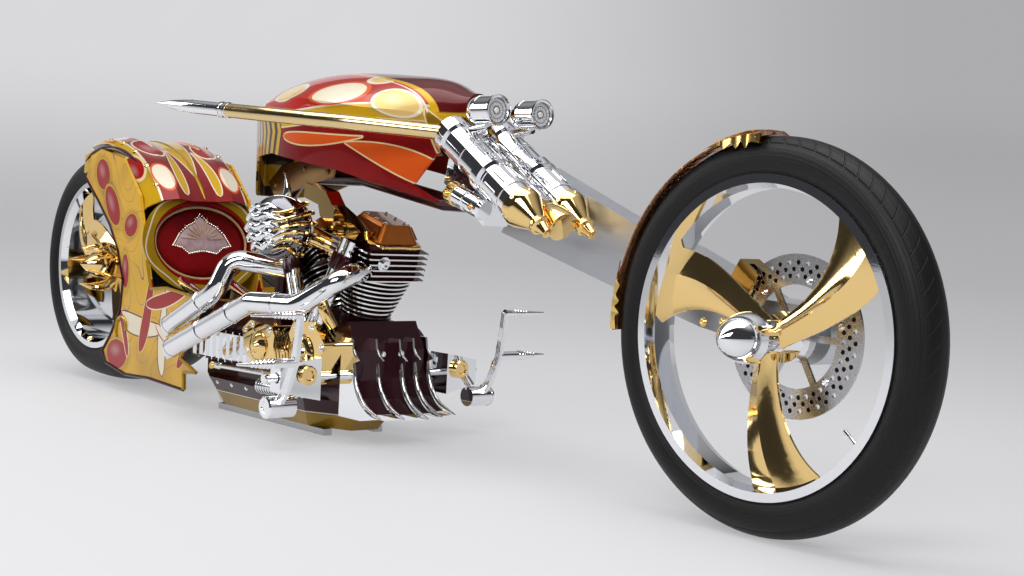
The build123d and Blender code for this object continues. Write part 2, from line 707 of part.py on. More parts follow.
def tank_section(row, inset, shrink):
    """One section of the tank, drawn in by the wall for the inside."""
    x_share, top_share, crease_share, low_share, crease_w_share, low_w_share = row
    base = TANK_TOP_Z - TANK_H
    x = TANK_REAR_X + TANK_L * x_share + shrink
    top = base + TANK_H * top_share - inset
    crease = base + TANK_H * crease_share - inset / 2
    low = base + TANK_H * low_share - (OVERRUN if inset else 0)
    crease_w = TANK_HALF_W * crease_w_share - inset
    low_w = TANK_HALF_W * low_w_share - inset
    plane = Plane(origin=(x, 0, 0), x_dir=(0, 1, 0), z_dir=(1, 0, 0))
    lines = ThreePointArc((-crease_w, crease), (0, top), (crease_w, crease))
    lines += Polyline((crease_w, crease), (low_w, low), (-low_w, low), (-crease_w, crease))
    return make_face(plane * lines)


def make_tank():
    """A helmet-shaped tank shell, open below, with a shaped lower edge."""
    outer = loft([tank_section(row, 0, 0) for row in TANK_SHARES])
    shrink = [TANK_WALL] + [0] * (len(TANK_SHARES) - 2) + [-TANK_WALL]
    inner = loft([tank_section(row, TANK_WALL, s) for row, s in zip(TANK_SHARES, shrink)])
    shell = outer - inner
    base = TANK_TOP_Z - TANK_H
    edge = outline(TANK_EDGE_SHARES, TANK_REAR_X, base, TANK_L, TANK_H)
    shell -= slab(edge, -TANK_HALF_W - OVERRUN, TANK_HALF_W + OVERRUN)
    swept_r = math.hypot(LEG_OFFSET + LEG_R, LEG_Y + LEG_R) + MOVING_GAP
    at = -LEG_BACK - MOVING_GAP
    neck_r = math.hypot(HEAD_R, STEM_R * FOOT_SHARE) + MOVING_GAP
    front = [steer(at, -neck_r), steer(at, swept_r), steer(TANK_L, swept_r), steer(TANK_L, -neck_r)]
    shell -= slab([(p.X, p.Z) for p in front], -TANK_HALF_W, TANK_HALF_W)
    return shell


# Half section of the rear crown, as shares of the body's half width and of the crown's radius:
# a shallow valley along the middle, a lobe on each side, then the shoulder
CROWN_SHARES = [(0.0, 0.990), (0.20, 0.990), (0.48, 1.008), (0.76, 0.982), (0.93, 0.900), (0.98, 0.780)]
# Flank outline, as shares of its length and height
FLANK_SHARES = [
    (0.000, 0.866), (0.118, 0.768), (0.235, 0.659), (0.313, 0.550), (0.365, 0.419),
    (0.349, 0.284), (0.270, 0.165), (0.203, 0.088), (0.242, 0.038), (0.411, 0.005),
    (0.605, 0.013), (0.882, 0.000), (0.877, 0.073), (0.971, 0.083), (0.850, 0.129),
    (0.905, 0.210), (1.000, 0.387), (0.726, 0.413), (0.600, 0.400), (0.560, 0.520),
    (0.480, 0.800), (0.330, 0.960), (0.134, 1.000), (0.040, 0.970),
]


def crown_section(axle_radius, wall):
    """The closed half-and-half section of the crown shell in the (y, radius) plane."""
    outer = [(BODY_HALF_W * a, axle_radius * b) for a, b in CROWN_SHARES]
    inner = [(max(y - wall / 2, 0), r - wall) for y, r in outer]
    left_outer = [(-y, r) for y, r in reversed(outer[1:])]
    left_inner = [(-y, r) for y, r in inner[1:]]
    points = left_outer + outer + list(reversed(inner)) + left_inner
    return make_face(Plane.YZ * Polyline(*points, close=True))


def make_rear_body():
    """Crowned shell over the tyre and the two cut-out flanks beside it."""
    face = crown_section(CROWN_R, CROWN_T)
    arc = revolve(face, Axis.Y, revolution_arc=CROWN_TO - CROWN_FROM)
    crown = Pos(CROWN_X, 0, CROWN_Z) * (Rot(0, 90 - CROWN_TO, 0) * arc)
    points = outline(FLANK_SHARES, FLANK_REAR_X, FLANK_LOW_Z, FLANK_L, FLANK_H)
    flank = slab(points, -BODY_HALF_W, BODY_WALL - BODY_HALF_W)
    room = rod((CROWN_X, -BODY_HALF_W, CROWN_Z), (CROWN_X, BODY_HALF_W, CROWN_Z), CROWN_R)
    over = Pos(CROWN_X, 0, CROWN_Z + CROWN_R) * Box(4 * CROWN_R, 3 * BODY_HALF_W, 2 * CROWN_R)
    flank = flank - (over - room)
    return {"rear_fender": crown, "rear_flanks": Compound(children=[flank, mirror_y(flank)])}


def seat_plane(lift=0.0):
    """The seat's plane: local x is the seat's width, local y runs up its slope."""
    t = math.radians(SEAT_TILT)
    normal = Vector(math.sin(t), 0, math.cos(t))
    return Plane(origin=Vector(SEAT_X, 0, SEAT_Z) + normal * lift, x_dir=(0, 1, 0), z_dir=normal)


def make_seat():
    """A scooped seat dish with a wide raised rim, and the pad in it."""
    rim_l, rim_w = SEAT_HALF_L + SEAT_RIM_W, SEAT_HALF_W + SEAT_RIM_W
    share = SEAT_BACK_SHARE
    back = Plane(origin=(0, 0, -SEAT_DEPTH)) * Ellipse(rim_w * share, rim_l * share)
    outer = loft([back, Ellipse(rim_w, rim_l)])
    hollow = extrude(Ellipse(SEAT_HALF_W, SEAT_HALF_L), amount=-SEAT_DEPTH + SEAT_WALL)
    dish = seat_plane().location * (outer - hollow)
    gap = SEAT_GAP
    pad = extrude(Ellipse(SEAT_HALF_W - gap, SEAT_HALF_L - gap), amount=PAD_T)
    pad = seat_plane(-SEAT_DEPTH + SEAT_WALL + gap).location * pad
    return {"seat_dish": dish, "seat_pad": pad}


# Base tray outline seen from above, as shares of its length and half width
BASE_PLAN_SHARES = [
    (0.00, 0.70), (0.12, 1.00), (0.80, 1.00), (1.00, 0.45),
]


def tray_section(z, half_w, x, length):
    """A level outline of the base tray."""
    right = [(x + length * a, -half_w * b) for a, b in BASE_PLAN_SHARES]
    left = [(px, -py) for px, py in reversed(right)]
    return make_face(Plane(origin=(0, 0, z)) * Polyline(*(right + left), close=True))


def make_base():
    """A flared tray under the engine, on two steel skids."""
    tray = loft([tray_section(SKID_T, BASE_FOOT_HALF_W, BASE_X + SKID_T, BASE_L - BASE_H),
                 tray_section(SKID_T + BASE_H, BASE_HALF_W, BASE_X, BASE_L)], ruled=True)
    skids = []
    for side in (-1, 1):
        mid = side * (BASE_FOOT_HALF_W - SKID_W / 2 - SEAT_GAP)
        skids.append(block((SKID_X, mid - SKID_W / 2, 0), (SKID_X + SKID_L, mid + SKID_W / 2, SKID_T)))
    return {"frame_base": tray, "skids": Compound(children=skids)}


def make_frame():
    """Steering head, the backbone under the tank and its post on the gearbox."""
    head = rod(steer(0), steer(HEAD_L), HEAD_R)
    route = [steer(HEAD_L * 0.62, -STEM_R), Vector(BACKBONE_DIP_X, 0, BACKBONE_DIP_Z),
             Vector(BACKBONE_RISE_X, 0, BACKBONE_RISE_Z), Vector(BACKBONE_TOP_X, 0, BACKBONE_TOP_Z),
             Vector(BACKBONE_REAR_X, 0, BACKBONE_REAR_Z),
             Vector(BACKBONE_REAR_X - BACKBONE_R, 0, SKID_T + BASE_H + BOX_H)]
    for start, end in zip(route, route[1:]):
        head += rod(start, end, BACKBONE_R)
    for knee in route[1:-1]:
        head += Solid.make_sphere(BACKBONE_R, Plane(origin=knee), -90, 90, 360)
    head -= rod(steer(-OVERRUN), steer(HEAD_L + OVERRUN), STEM_R + RUNNING_GAP)
    rails = []
    for side in (-1, 1):
        low = Vector(BOX_X + RAIL_R, side * RAIL_Y, SKID_T + BASE_H + BOX_H - 2 * RAIL_R)
        high = Vector(SEAT_X + RAIL_R, side * RAIL_Y, SEAT_Z - SEAT_HALF_L)
        rails.append(rod(low, high, RAIL_R))
    return {"frame_head": head, "seat_rails": Compound(children=rails)}


def cylinder_plane(lean, along):
    """Plane square to a cylinder's axis at a distance from the crank."""
    a = math.radians(lean)
    axis = Vector(math.sin(a), 0, math.cos(a))
    return Plane(origin=Vector(CRANK_X, 0, CRANK_Z) + axis * along,
                 x_dir=(math.cos(a), 0, -math.sin(a)), z_dir=axis)


def finned_barrel(lean):
    """A cylinder barrel with round fins."""
    barrel = Solid.make_cylinder(BARREL_R, BARREL_L, Plane.XY)
    pitch = BARREL_L / BARREL_FINS
    for i in range(BARREL_FINS):
        radius = FIN_LOW_R + (FIN_R - FIN_LOW_R) * i / (BARREL_FINS - 1)
        barrel += Solid.make_cylinder(radius, FIN_T, Plane(origin=(0, 0, pitch * (i + 0.5))))
    barrel = cylinder_plane(lean, CYL_START).location * barrel
    middle = FRONT_LEAN - V_ANGLE / 2
    side = 1 if lean < middle else -1
    room = Pos(side * (HEAD_LX - SEAT_GAP), 0, 0) * Box(2 * HEAD_LX, 2 * HEAD_LY, 2 * HEAD_START)
    return barrel - cylinder_plane(middle, HEAD_START / 2).location * room


def finned_head(lean):
    """A cylinder head: a rounded block with square-cornered fins."""
    core_x, core_y = HEAD_LX * 0.8, HEAD_LY * 0.8
    head = extrude(RectangleRounded(core_x, core_y, FIN_T * 3), amount=HEAD_H)
    pitch = HEAD_H / HEAD_FINS
    fin = extrude(RectangleRounded(HEAD_LX, HEAD_LY, FIN_T * 5), amount=FIN_T)
    for i in range(HEAD_FINS):
        head += Pos(0, 0, pitch * i) * fin
    return cylinder_plane(lean, HEAD_START).location * head


def rocker_cover(lean):
    """A rocker cover: a flanged base under a tapered lid with a raised crown."""
    flange = extrude(RectangleRounded(ROCKER_LX, ROCKER_LY, FIN_T * 5), amount=ROCKER_H * 0.2)
    corner = FIN_T * 4
    low = RectangleRounded(ROCKER_LX * 0.94, ROCKER_LY * 0.92, corner)
    low = Plane(origin=(0, 0, ROCKER_H * 0.2)) * low
    high = Plane(origin=(0, 0, ROCKER_H)) * RectangleRounded(ROCKER_LX * 0.7, ROCKER_LY * 0.6, corner)
    cover = flange + loft([low, high], ruled=True)
    return cylinder_plane(lean, HEAD_START + HEAD_H).location * cover


# Crankcase outline about the crank, as shares of its radius
CASE_SHARES = [
    (-1.35, -0.86), (-1.45, 0.30), (-1.00, 0.62), (-0.78, 1.02), (-0.25, 0.90), (0.35, 0.78),
    (0.95, 0.90), (1.30, 0.30), (1.20, -0.86),
]
CAM_SHARES = [
    (-0.55, -0.55), (-0.75, 0.10), (-0.30, 0.80), (0.45, 0.86), (0.95, 0.40), (0.60, -0.50),
]
GEAR_SHARES = [
    (-1.70, -0.42), (-2.30, -0.05), (-2.45, 0.45), (-2.10, 0.68), (-1.20, 0.62), (-0.92, 0.20),
    (-1.05, -0.30),
]


def make_engine():
    """Crankcase, cam cover, two finned cylinders with heads and rocker covers."""
    floor = SKID_T + BASE_H
    points = outline(CASE_SHARES, CRANK_X, CRANK_Z, CASE_R, CASE_R)
    points = [(x, max(z, floor)) for x, z in points]
    case = slab(points, -CASE_HALF_W, CASE_HALF_W)
    front, rear = FRONT_LEAN, FRONT_LEAN - V_ANGLE
    for lean in (front, rear):
        plane = cylinder_plane(lean, 0)
        case += Solid.make_cylinder(FIN_LOW_R, CYL_START, plane)
    covers = []
    for shares in (CAM_SHARES, GEAR_SHARES):
        points = outline(shares, CRANK_X, CRANK_Z, CASE_R, CASE_R)
        covers.append(slab(points, -CASE_HALF_W - CAM_T, -CASE_HALF_W, FIN_T * 4))
    rods = []
    for lean in (front, rear):
        side = -1 if lean == rear else 1
        plane = cylinder_plane(lean, HEAD_START + HEAD_H)
        for step in (0, 1):
            low = Vector(CRANK_X + side * PUSHROD_PITCH * (step + 0.5), PUSHROD_LOW_Y, PUSHROD_LOW_Z)
            high = plane.from_local_coords(Vector(side * PUSHROD_PITCH * step, PUSHROD_HIGH_Y, 0))
            rods.append(rod(low, high, PUSHROD_R))
    return {
        "crankcase": case, "cam_cover": both(*covers),
        "barrels": both(finned_barrel(front), finned_barrel(rear)),
        "heads": both(finned_head(front), finned_head(rear)),
        "rocker_covers": both(rocker_cover(front), rocker_cover(rear)),
        "pushrods": Compound(children=rods),
    }


# Billet arm over the intake, as shares of its length and height
ARM_SHARES = [
    (0.02, 1.00), (0.38, 0.86), (0.50, 0.62), (0.62, 0.52), (0.99, 0.20), (0.91, 0.05),
    (0.58, 0.10), (0.50, 0.26), (0.30, 0.42), (0.26, 0.62), (0.00, 0.74),
]


def make_intake():
    """Round air cleaner that faces forward, on its neck, and the billet arm above."""
    a = math.radians(AIR_TURN)
    way = Vector(math.sin(a), -math.cos(a), 0)
    middle = Vector(AIR_X, AIR_Y, AIR_Z)
    back = middle - way * AIR_T
    neck = rod(back - way * AIR_R, middle, PIPE_R)
    neck += rod(Vector(AIR_X / 2, 0, AIR_Z - AIR_R), back - way * AIR_R, PIPE_R)
    cleaner = turned(back, way, [(0, AIR_R * 0.8), (AIR_T * 0.3, AIR_R), (AIR_T * 0.8, AIR_R),
                                 (AIR_T * 1.25, AIR_R * 0.55)], AIR_R * 0.25)
    plate_y = -ROCKER_LY / 2 - SEAT_GAP
    arm = slab(outline(ARM_SHARES, ARM_X, ARM_LOW_Z, ARM_L, ARM_H), plate_y - ARM_PLATE_T, plate_y)
    return {"air_cleaner": cleaner, "intake": both(neck, arm)}


# Exhaust routes from port to tip
PIPE_BEND_R = 42.0
FRONT_PIPE = [(50.0, -60.0, 398.0), (118.0, -170.0, 380.0), (26.0, -226.0, 312.0),
              (-150.0, -240.0, 306.0), (-520.0, -240.0, 164.0)]
REAR_PIPE = [(-225.0, -60.0, 372.0), (-316.0, -200.0, 398.0), (-330.0, -230.0, 318.0),
             (-552.0, -230.0, 217.0)]


def pipe(route):
    """A bent pipe with a bored, slash-cut tip."""
    path = FilletPolyline(*route, radius=PIPE_BEND_R)
    start = path @ 0
    solid = sweep(Plane(origin=start, z_dir=path % 0) * Circle(PIPE_R), path=path)
    tip, before = Vector(route[-1]), Vector(route[-2])
    way = (tip - before).normalized()
    solid -= rod(tip - way * TIP_BORE_L, tip + way * OVERRUN, PIPE_R - PIPE_WALL)
    return solid


def make_exhaust():
    """Two pipes on the right side."""
    return {"exhaust_pipes": both(pipe(FRONT_PIPE), pipe(REAR_PIPE))}


def make_gearbox():
    """Gearbox with a ribbed cover on the right and the primary drive on the left."""
    floor = SKID_T + BASE_H
    box = block((BOX_X, -BOX_HALF_W, floor), (BOX_X + BOX_L, BOX_HALF_W, floor + BOX_H))
    cover_l = BOX_L * 0.86
    cover = block((BOX_X, -BOX_HALF_W - COVER_T, floor + BOX_H * 0.28),
                  (BOX_X + cover_l, -BOX_HALF_W, floor + BOX_H * 0.62))
    pitch = cover_l / COVER_RIBS
    for i in range(COVER_RIBS):
        x = BOX_X + pitch * (i + 0.5)
        cover += block((x - COVER_RIB_T / 2, -BOX_HALF_W - COVER_T - COVER_RIB_T, floor + BOX_H * 0.25),
                       (x + COVER_RIB_T / 2, -BOX_HALF_W, floor + BOX_H * 0.66))
    front_r, rear_r = CASE_R * 0.72, BOX_H * 0.42
    low, high = CASE_HALF_W, CASE_HALF_W + PRIMARY_T
    rear_x, rear_z = BOX_X + BOX_L * 0.55, floor + BOX_H * 0.5
    primary = slab([(CRANK_X, CRANK_Z - front_r), (CRANK_X, CRANK_Z + front_r),
                    (rear_x, rear_z + rear_r), (rear_x, rear_z - rear_r)], low, high)
    primary += rod((CRANK_X, low, CRANK_Z), (CRANK_X, high, CRANK_Z), front_r)
    primary += rod((rear_x, low, rear_z), (rear_x, high, rear_z), rear_r)
    return {"gearbox": box, "ribbed_cover": cover, "primary_cover": primary}


def make_belt():
    """Drive belt round both pulleys, and the small pulley at the gearbox."""
    low, high = PULLEY_Y - PULLEY_T / 2 + BELT_T, PULLEY_Y + PULLEY_T / 2 - BELT_T
    small = (DRIVE_PULLEY_X, DRIVE_PULLEY_Z)
    big = (REAR_AXLE_X, REAR_TYRE_R)

    def loop(grow):
        """The outline round both pulleys, grown by a distance."""
        dx, dz = small[0] - big[0], small[1] - big[1]
        span = math.hypot(dx, dz)
        lean = math.acos((PULLEY_R - DRIVE_PULLEY_R) / span)
        base = math.atan2(dz, dx)
        points = []
        for centre, r in ((big, PULLEY_R), (small, DRIVE_PULLEY_R)):
            for sign in (1, -1):
                a = base + sign * lean
                points.append((centre[0] + (r + grow) * math.cos(a), centre[1] + (r + grow) * math.sin(a)))
        body = slab([points[0], points[2], points[3], points[1]], low, high)
        body += rod((big[0], low, big[1]), (big[0], high, big[1]), PULLEY_R + grow)
        body += rod((small[0], low, small[1]), (small[0], high, small[1]), DRIVE_PULLEY_R + grow)
        return body

    belt = loop(SEAT_GAP + BELT_T) - loop(SEAT_GAP)
    x, z = small
    drive = rod((x, PULLEY_Y - PULLEY_T / 2, z), (x, PULLEY_Y + PULLEY_T / 2, z), DRIVE_PULLEY_R)
    drive += rod((x, BOX_HALF_W, z), (x, PULLEY_Y, z), AXLE_R)
    return {"drive_belt": belt, "drive_pulley": drive}


# Chin blade: back and top corners, the spur, and the sweep down to the hooked foot, as shares
# of the chin's length and height
CHIN_BACK_SHARES = [(0.42, 0.00), (-0.25, 0.00), (-0.25, 1.00), (0.06, 1.00), (0.10, 0.85), (0.30, 0.74),
                    (0.13, 0.69)]
CHIN_SWEEP_SHARES = [(0.13, 0.69), (0.27, 0.30), (1.00, 0.075)]
CHIN_PANEL_SHARES = [(-0.25, 0.06), (-0.25, 0.94), (0.00, 0.94), (0.04, 0.50), (0.14, 0.24), (0.40, 0.06)]


def chin_blade(x, y):
    """One upright blade: an arc sweeps from the spur to the hooked foot."""
    back = outline(CHIN_BACK_SHARES, x, CHIN_Z, CHIN_L, CHIN_H)
    sweep_points = outline(CHIN_SWEEP_SHARES, x, CHIN_Z, CHIN_L, CHIN_H)
    plane = Plane(origin=(0, y + CHIN_BLADE_T / 2, 0), x_dir=(1, 0, 0), z_dir=(0, -1, 0))
    lines = Polyline(*back) + ThreePointArc(*sweep_points) + Line(sweep_points[-1], back[0])
    return extrude(make_face(plane * lines), amount=CHIN_BLADE_T, dir=(0, -1, 0))


def make_chin():
    """Upright blades in front of the crankcase with panels between them."""
    blades, panels = [], []
    half = (CHIN_BLADES - 1) / 2
    for i in range(CHIN_BLADES):
        blades.append(chin_blade(CHIN_X + CHIN_STEP * (half - abs(i - half)), (i - half) * CHIN_PITCH))
    for i in range(CHIN_BLADES - 1):
        x = CHIN_X + CHIN_STEP * (half - max(abs(i - half), abs(i + 1 - half)))
        low = (i - half) * CHIN_PITCH + CHIN_BLADE_T / 2
        shape = outline(CHIN_PANEL_SHARES, x, CHIN_Z, CHIN_L, CHIN_H)
        panels.append(slab(shape, low, low + CHIN_PITCH - CHIN_BLADE_T))
    return {"chin_blades": Compound(children=blades), "chin_panels": Compound(children=panels)}


# Foot lever: centre line as shares of its length and height, and the share of its width there
LEVER_SHARES = [(0.00, 0.00, 1.20), (0.45, 0.20, 1.10), (0.82, 0.50, 0.90), (0.93, 0.78, 0.75),
                (1.00, 1.00, 0.70)]


def make_foot_control(side):
    """Shaft and bracket on the crankcase, pivot drum, bowed lever and two spear pegs."""
    y = side * LEVER_Y
    places = [(LEVER_X + LEVER_L * a, LEVER_Z + LEVER_H * b, LEVER_W * c / 2) for a, b, c in LEVER_SHARES]
    left = [(x - w, z + w * 0.3) for x, z, w in places]
    right = [(x + w, z - w * 0.3) for x, z, w in reversed(places)]
    lever = slab(left + right, y - LEVER_T / 2, y + LEVER_T / 2)
    start = side * CASE_HALF_W
    piece = rod((SHAFT_X, start, SHAFT_Z), (SHAFT_X, y, SHAFT_Z), SHAFT_R)
    ends = []
    for along, scale in ((BRACKET_Y, 1.0), (LEVER_Y - LEVER_T, 0.62)):
        plane = Plane(origin=(SHAFT_X + BRACKET_L * 0.2, side * along, SHAFT_Z), x_dir=(1, 0, 0),
                      z_dir=(0, side, 0))
        ends.append(plane * Rectangle(BRACKET_L * scale, BRACKET_H * scale))
    piece += loft(ends, ruled=True)
    piece += rod((LEVER_X, y - side * PIVOT_L * 0.6, LEVER_Z), (LEVER_X, y + side * PIVOT_L * 0.4, LEVER_Z),
                 PIVOT_R)
    piece += lever
    x, z, _ = places[-1]
    piece += rod((x, y, z), (x, side * PEG_UPPER_TIP_Y, z), PEG_R, PEG_R * 0.3)
    x, z, _ = places[2]
    knee = side * (LEVER_Y + (PEG_TIP_Y - LEVER_Y) * 0.4)
    piece += rod((x, y, z), (x, knee, z), PEG_R * 1.2)
    piece += rod((x, knee, z), (x, side * PEG_TIP_Y, z), PEG_R * 1.2, PEG_R * 0.3)
    return piece


def make_swingarm():
    """Single-sided arm on the left that carries the rear axle, with its caliper."""
    x, z = REAR_AXLE_X, REAR_TYRE_R
    low, high = ARM_Y, ARM_Y + ARM_T
    dx, dz = ARM_PIVOT_X - x, ARM_PIVOT_Z - z
    span = math.hypot(dx, dz)
    nx, nz = -dz / span, dx / span
    arm = slab([(x + nx * ARM_HUB_R * 0.9, z + nz * ARM_HUB_R * 0.9),
                (x - nx * ARM_HUB_R * 0.9, z - nz * ARM_HUB_R * 0.9),
                (ARM_PIVOT_X - nx * ARM_PIVOT_R, ARM_PIVOT_Z - nz * ARM_PIVOT_R),
                (ARM_PIVOT_X + nx * ARM_PIVOT_R, ARM_PIVOT_Z + nz * ARM_PIVOT_R)], low, high)
    arm += rod((x, low, z), (x, high, z), ARM_HUB_R)
    arm += rod((ARM_PIVOT_X, CASE_HALF_W + PRIMARY_T, ARM_PIVOT_Z), (ARM_PIVOT_X, high, ARM_PIVOT_Z),
               ARM_PIVOT_R)
    arm -= rod((x, low - OVERRUN, z), (x, high, z), AXLE_R)
    axle = rod((x, -REAR_HUB_HALF / 2 + MOVING_GAP, z), (x, high, z), AXLE_R)
    return {"swingarm": arm, "rear_axle": axle}


def make_all():
    """Every piece of the machine by name."""
    pieces = {}
    for group in (make_base(), make_frame(), {"fuel_tank": make_tank()}, make_rear_body(),
                  make_seat(), make_engine(), make_intake(), make_exhaust(), make_gearbox(),
                  make_belt(), make_chin(), make_swingarm(), make_fork(), make_bars(),
                  make_lamps(), make_front_wheel(), make_rear_wheel()):
        pieces.update(group)
    pieces["front_caliper"] = make_front_caliper()
    pieces["front_fender"] = make_front_fender()
    pieces["foot_controls"] = both(make_foot_control(-1), make_foot_control(1))
    return pieces


# Pieces cut back to seat on their neighbours
SEATS = {
    "crankcase": ("barrels", "frame_base"),
    "cam_cover": ("barrels",),
    "chin_blades": ("crankcase", "cam_cover", "frame_base"),
    "chin_panels": ("crankcase", "cam_cover", "frame_base", "chin_blades"),
    "exhaust_pipes": ("heads", "rocker_covers", "barrels"),
    "pushrods": ("heads", "barrels", "cam_cover", "crankcase", "rocker_covers", "exhaust_pipes"),
    "intake": ("air_cleaner", "heads", "barrels", "rocker_covers", "exhaust_pipes", "fuel_tank", "pushrods"),
    "bar_clamp": ("fork_crown", "fork_legs", "handlebars", "lamps"),
    "fork_crown": ("fork_beam",),
    "handlebars": ("fork_crown", "fork_legs"),
    "frame_head": ("gearbox", "fuel_tank", "rocker_covers"),
    "seat_rails": ("gearbox", "seat_dish"),
    "rear_fender": ("seat_dish", "seat_pad"),
    "rear_flanks": ("rear_fender", "seat_dish", "seat_pad", "drive_pulley", "swingarm"),
    "gearbox": ("crankcase",),
    "ribbed_cover": ("cam_cover",),
    "foot_controls": ("crankcase", "cam_cover", "primary_cover", "chin_blades", "chin_panels"),
    "front_fender": ("fork_beam",),
}


def seated(pieces):
    """Cut each listed piece back by the neighbours that it seats on."""
    for name, neighbours in SEATS.items():
        solids = []
        for solid in pieces[name].solids():
            cut = solid
            for other in neighbours:
                for tool in pieces[other].solids():
                    cut = cut - tool
            solids.extend(cut.solids())
        pieces[name] = Compound(children=solids) if len(solids) > 1 else solids[0]
    return pieces


os.makedirs("parts", exist_ok=True)
for name, piece in seated(make_all()).items():
    export_step(piece, "parts/" + name + ".step")
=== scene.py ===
from functools import reduce
from math import cos, pi, radians, sin

import bmesh
import bpy
from mathutils import Matrix, Vector
from mathutils.bvhtree import BVHTree


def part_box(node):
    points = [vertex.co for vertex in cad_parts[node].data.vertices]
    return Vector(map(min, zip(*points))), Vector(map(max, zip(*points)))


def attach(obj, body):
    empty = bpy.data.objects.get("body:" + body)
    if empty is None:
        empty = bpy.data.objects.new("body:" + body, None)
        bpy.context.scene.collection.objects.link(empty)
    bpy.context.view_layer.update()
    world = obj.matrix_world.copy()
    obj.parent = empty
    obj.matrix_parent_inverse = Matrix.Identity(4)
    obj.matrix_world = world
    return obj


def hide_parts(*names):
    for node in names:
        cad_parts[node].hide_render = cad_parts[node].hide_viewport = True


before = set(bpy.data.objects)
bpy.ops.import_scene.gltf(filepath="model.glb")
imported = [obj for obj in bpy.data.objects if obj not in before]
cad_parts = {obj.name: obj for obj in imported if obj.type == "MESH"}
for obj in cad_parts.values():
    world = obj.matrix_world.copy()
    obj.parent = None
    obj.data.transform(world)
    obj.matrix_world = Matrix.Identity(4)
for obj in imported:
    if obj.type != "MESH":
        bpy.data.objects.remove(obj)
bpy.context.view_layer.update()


def at(x, y, z):
    """A place or direction in the row frame: forward, left and up, in metres."""
    return Vector((x, y, z))


# Camera: the photograph's place, direction and lens
CAMERA_AT = at(2.843715, -2.028995, 0.542786)
CAMERA_YAW = 2.431
CAMERA_PITCH = -0.051
CAMERA_ROLL = 0.049
CAMERA_LENS = 52.746

# Studio
FLOOR_COLOUR = (0.78, 0.78, 0.80)
# Painted shade laid over the backdrop towards the camera's right and up the wall
WALL_SHADE_COLOUR = (0.46, 0.46, 0.47)
SKY_COLOUR = (0.74, 0.74, 0.76)
DARK_SIDE = (0.045, 0.045, 0.05)

# Colours, linear
GOLD = (0.92, 0.65, 0.27)
PALE_GOLD = (0.80, 0.56, 0.20)
CREAM = (0.80, 0.62, 0.30)
IVORY = (0.86, 0.76, 0.58)
GOLD_PAINT = (0.64, 0.37, 0.010)
SUN_GOLD = (0.84, 0.46, 0.025)
OLIVE_GOLD = (0.24, 0.14, 0.008)
CANDY_RED = (0.36, 0.004, 0.004)
DARK_RED = (0.10, 0.002, 0.003)
ORANGE = (0.74, 0.10, 0.012)
MAROON = (0.045, 0.003, 0.007)
DARK_MAROON = (0.02, 0.002, 0.005)
VIOLET = (0.16, 0.08, 0.22)
CHROME = (0.90, 0.91, 0.93)
STEEL = (0.60, 0.61, 0.63)

# Widths of the outlines drawn in paint, in metres
OVAL_LINE = 0.0040
LICK_LINE = 0.0035

# Places of the machine, in metres, as the part's source gives them
MM = 0.001
FORWARD, LEFT, UP = at(1, 0, 0), at(0, 1, 0), at(0, 0, 1)
STEER_AT = at(0.313, 0, 0.605)
RAKE = radians(32.05)
STEER_WAY = at(cos(RAKE), 0, -sin(RAKE))
STEER_UP = at(sin(RAKE), 0, cos(RAKE))
LEG_UP, LEG_OUT = 0.095, 0.062
LAMP_AT = at(0.485, 0.060, 0.747)
FRONT_AXLE = at(1.1765, 0, 0.3475)
REAR_AXLE = at(-1.1905, 0, 0.3335)
CRANK = at(-0.065, 0, 0.180)
LEANS = (16.0, -29.0)
COVER_FACE = 0.157
AIR_AT = at(-0.105, -0.205, 0.480)
AIR_TURN = radians(37)
CROWN_AT = at(-1.130, 0, 0.296)
SEAT_AT = at(-0.811, 0, 0.417)
SEAT_TILT = radians(80)
SEAT_OUT = at(sin(SEAT_TILT), 0, cos(SEAT_TILT))
SEAT_UP = at(-cos(SEAT_TILT), 0, sin(SEAT_TILT))


def put(tree, value, socket):
    """Link a value to a socket, or set a plain one there."""
    value = value.socket if isinstance(value, Value) else value
    if isinstance(value, bpy.types.NodeSocket):
        tree.links.new(value, socket)
    elif socket.type == "RGBA":
        socket.default_value = (*value, 1)
    else:
        socket.default_value = value


def add(tree, kind, inputs, **settings):
    """A new node, with its settings, and its inputs by number or name."""
    node = tree.nodes.new("ShaderNode" + kind)
    for key, value in settings.items():
        setattr(node, key, value)
    for key, value in inputs.items():
        put(tree, value, node.inputs[key])
    return node


class Value:
    """A node's output that takes plain arithmetic, one Math node for each sign."""

    def __init__(self, tree, socket):
        self.tree, self.socket = tree, socket

    def calc(self, operation, *others):
        node = add(self.tree, "Math", dict(enumerate((self, *others))), operation=operation)
        return Value(self.tree, node.outputs[0])

    def __add__(self, other):
        return self.calc("ADD", other)

    def __sub__(self, other):
        return self.calc("SUBTRACT", other)

    def __mul__(self, other):
        return self.calc("MULTIPLY", other)

    def __truediv__(self, other):
        return self.calc("DIVIDE", other)

    def __abs__(self):
        return self.calc("ABSOLUTE")

    def most(self, other):
        return self.calc("MAXIMUM", other)

    def least(self, other):
        return self.calc("MINIMUM", other)

    def wave(self):
        return self.calc("SINE")

    def step(self, low, high):
        """0 below low and 1 above high, smooth between."""
        ends = {"Value": self, "From Min": low, "From Max": high}
        node = add(self.tree, "MapRange", ends, interpolation_type="SMOOTHSTEP")
        return Value(self.tree, node.outputs[0])

    def band(self, width, soft=0.02):
        """1 where the value is within a width of 0."""
        return abs(self).step(width + soft, width - soft)


def reach(a, b):
    """Distance of the point (a, b) from the origin."""
    return (a * a + b * b).calc("SQRT")


def turn(a, b):
    """Angle of the point (a, b), 0 along a."""
    return b.calc("ARCTAN2", a)


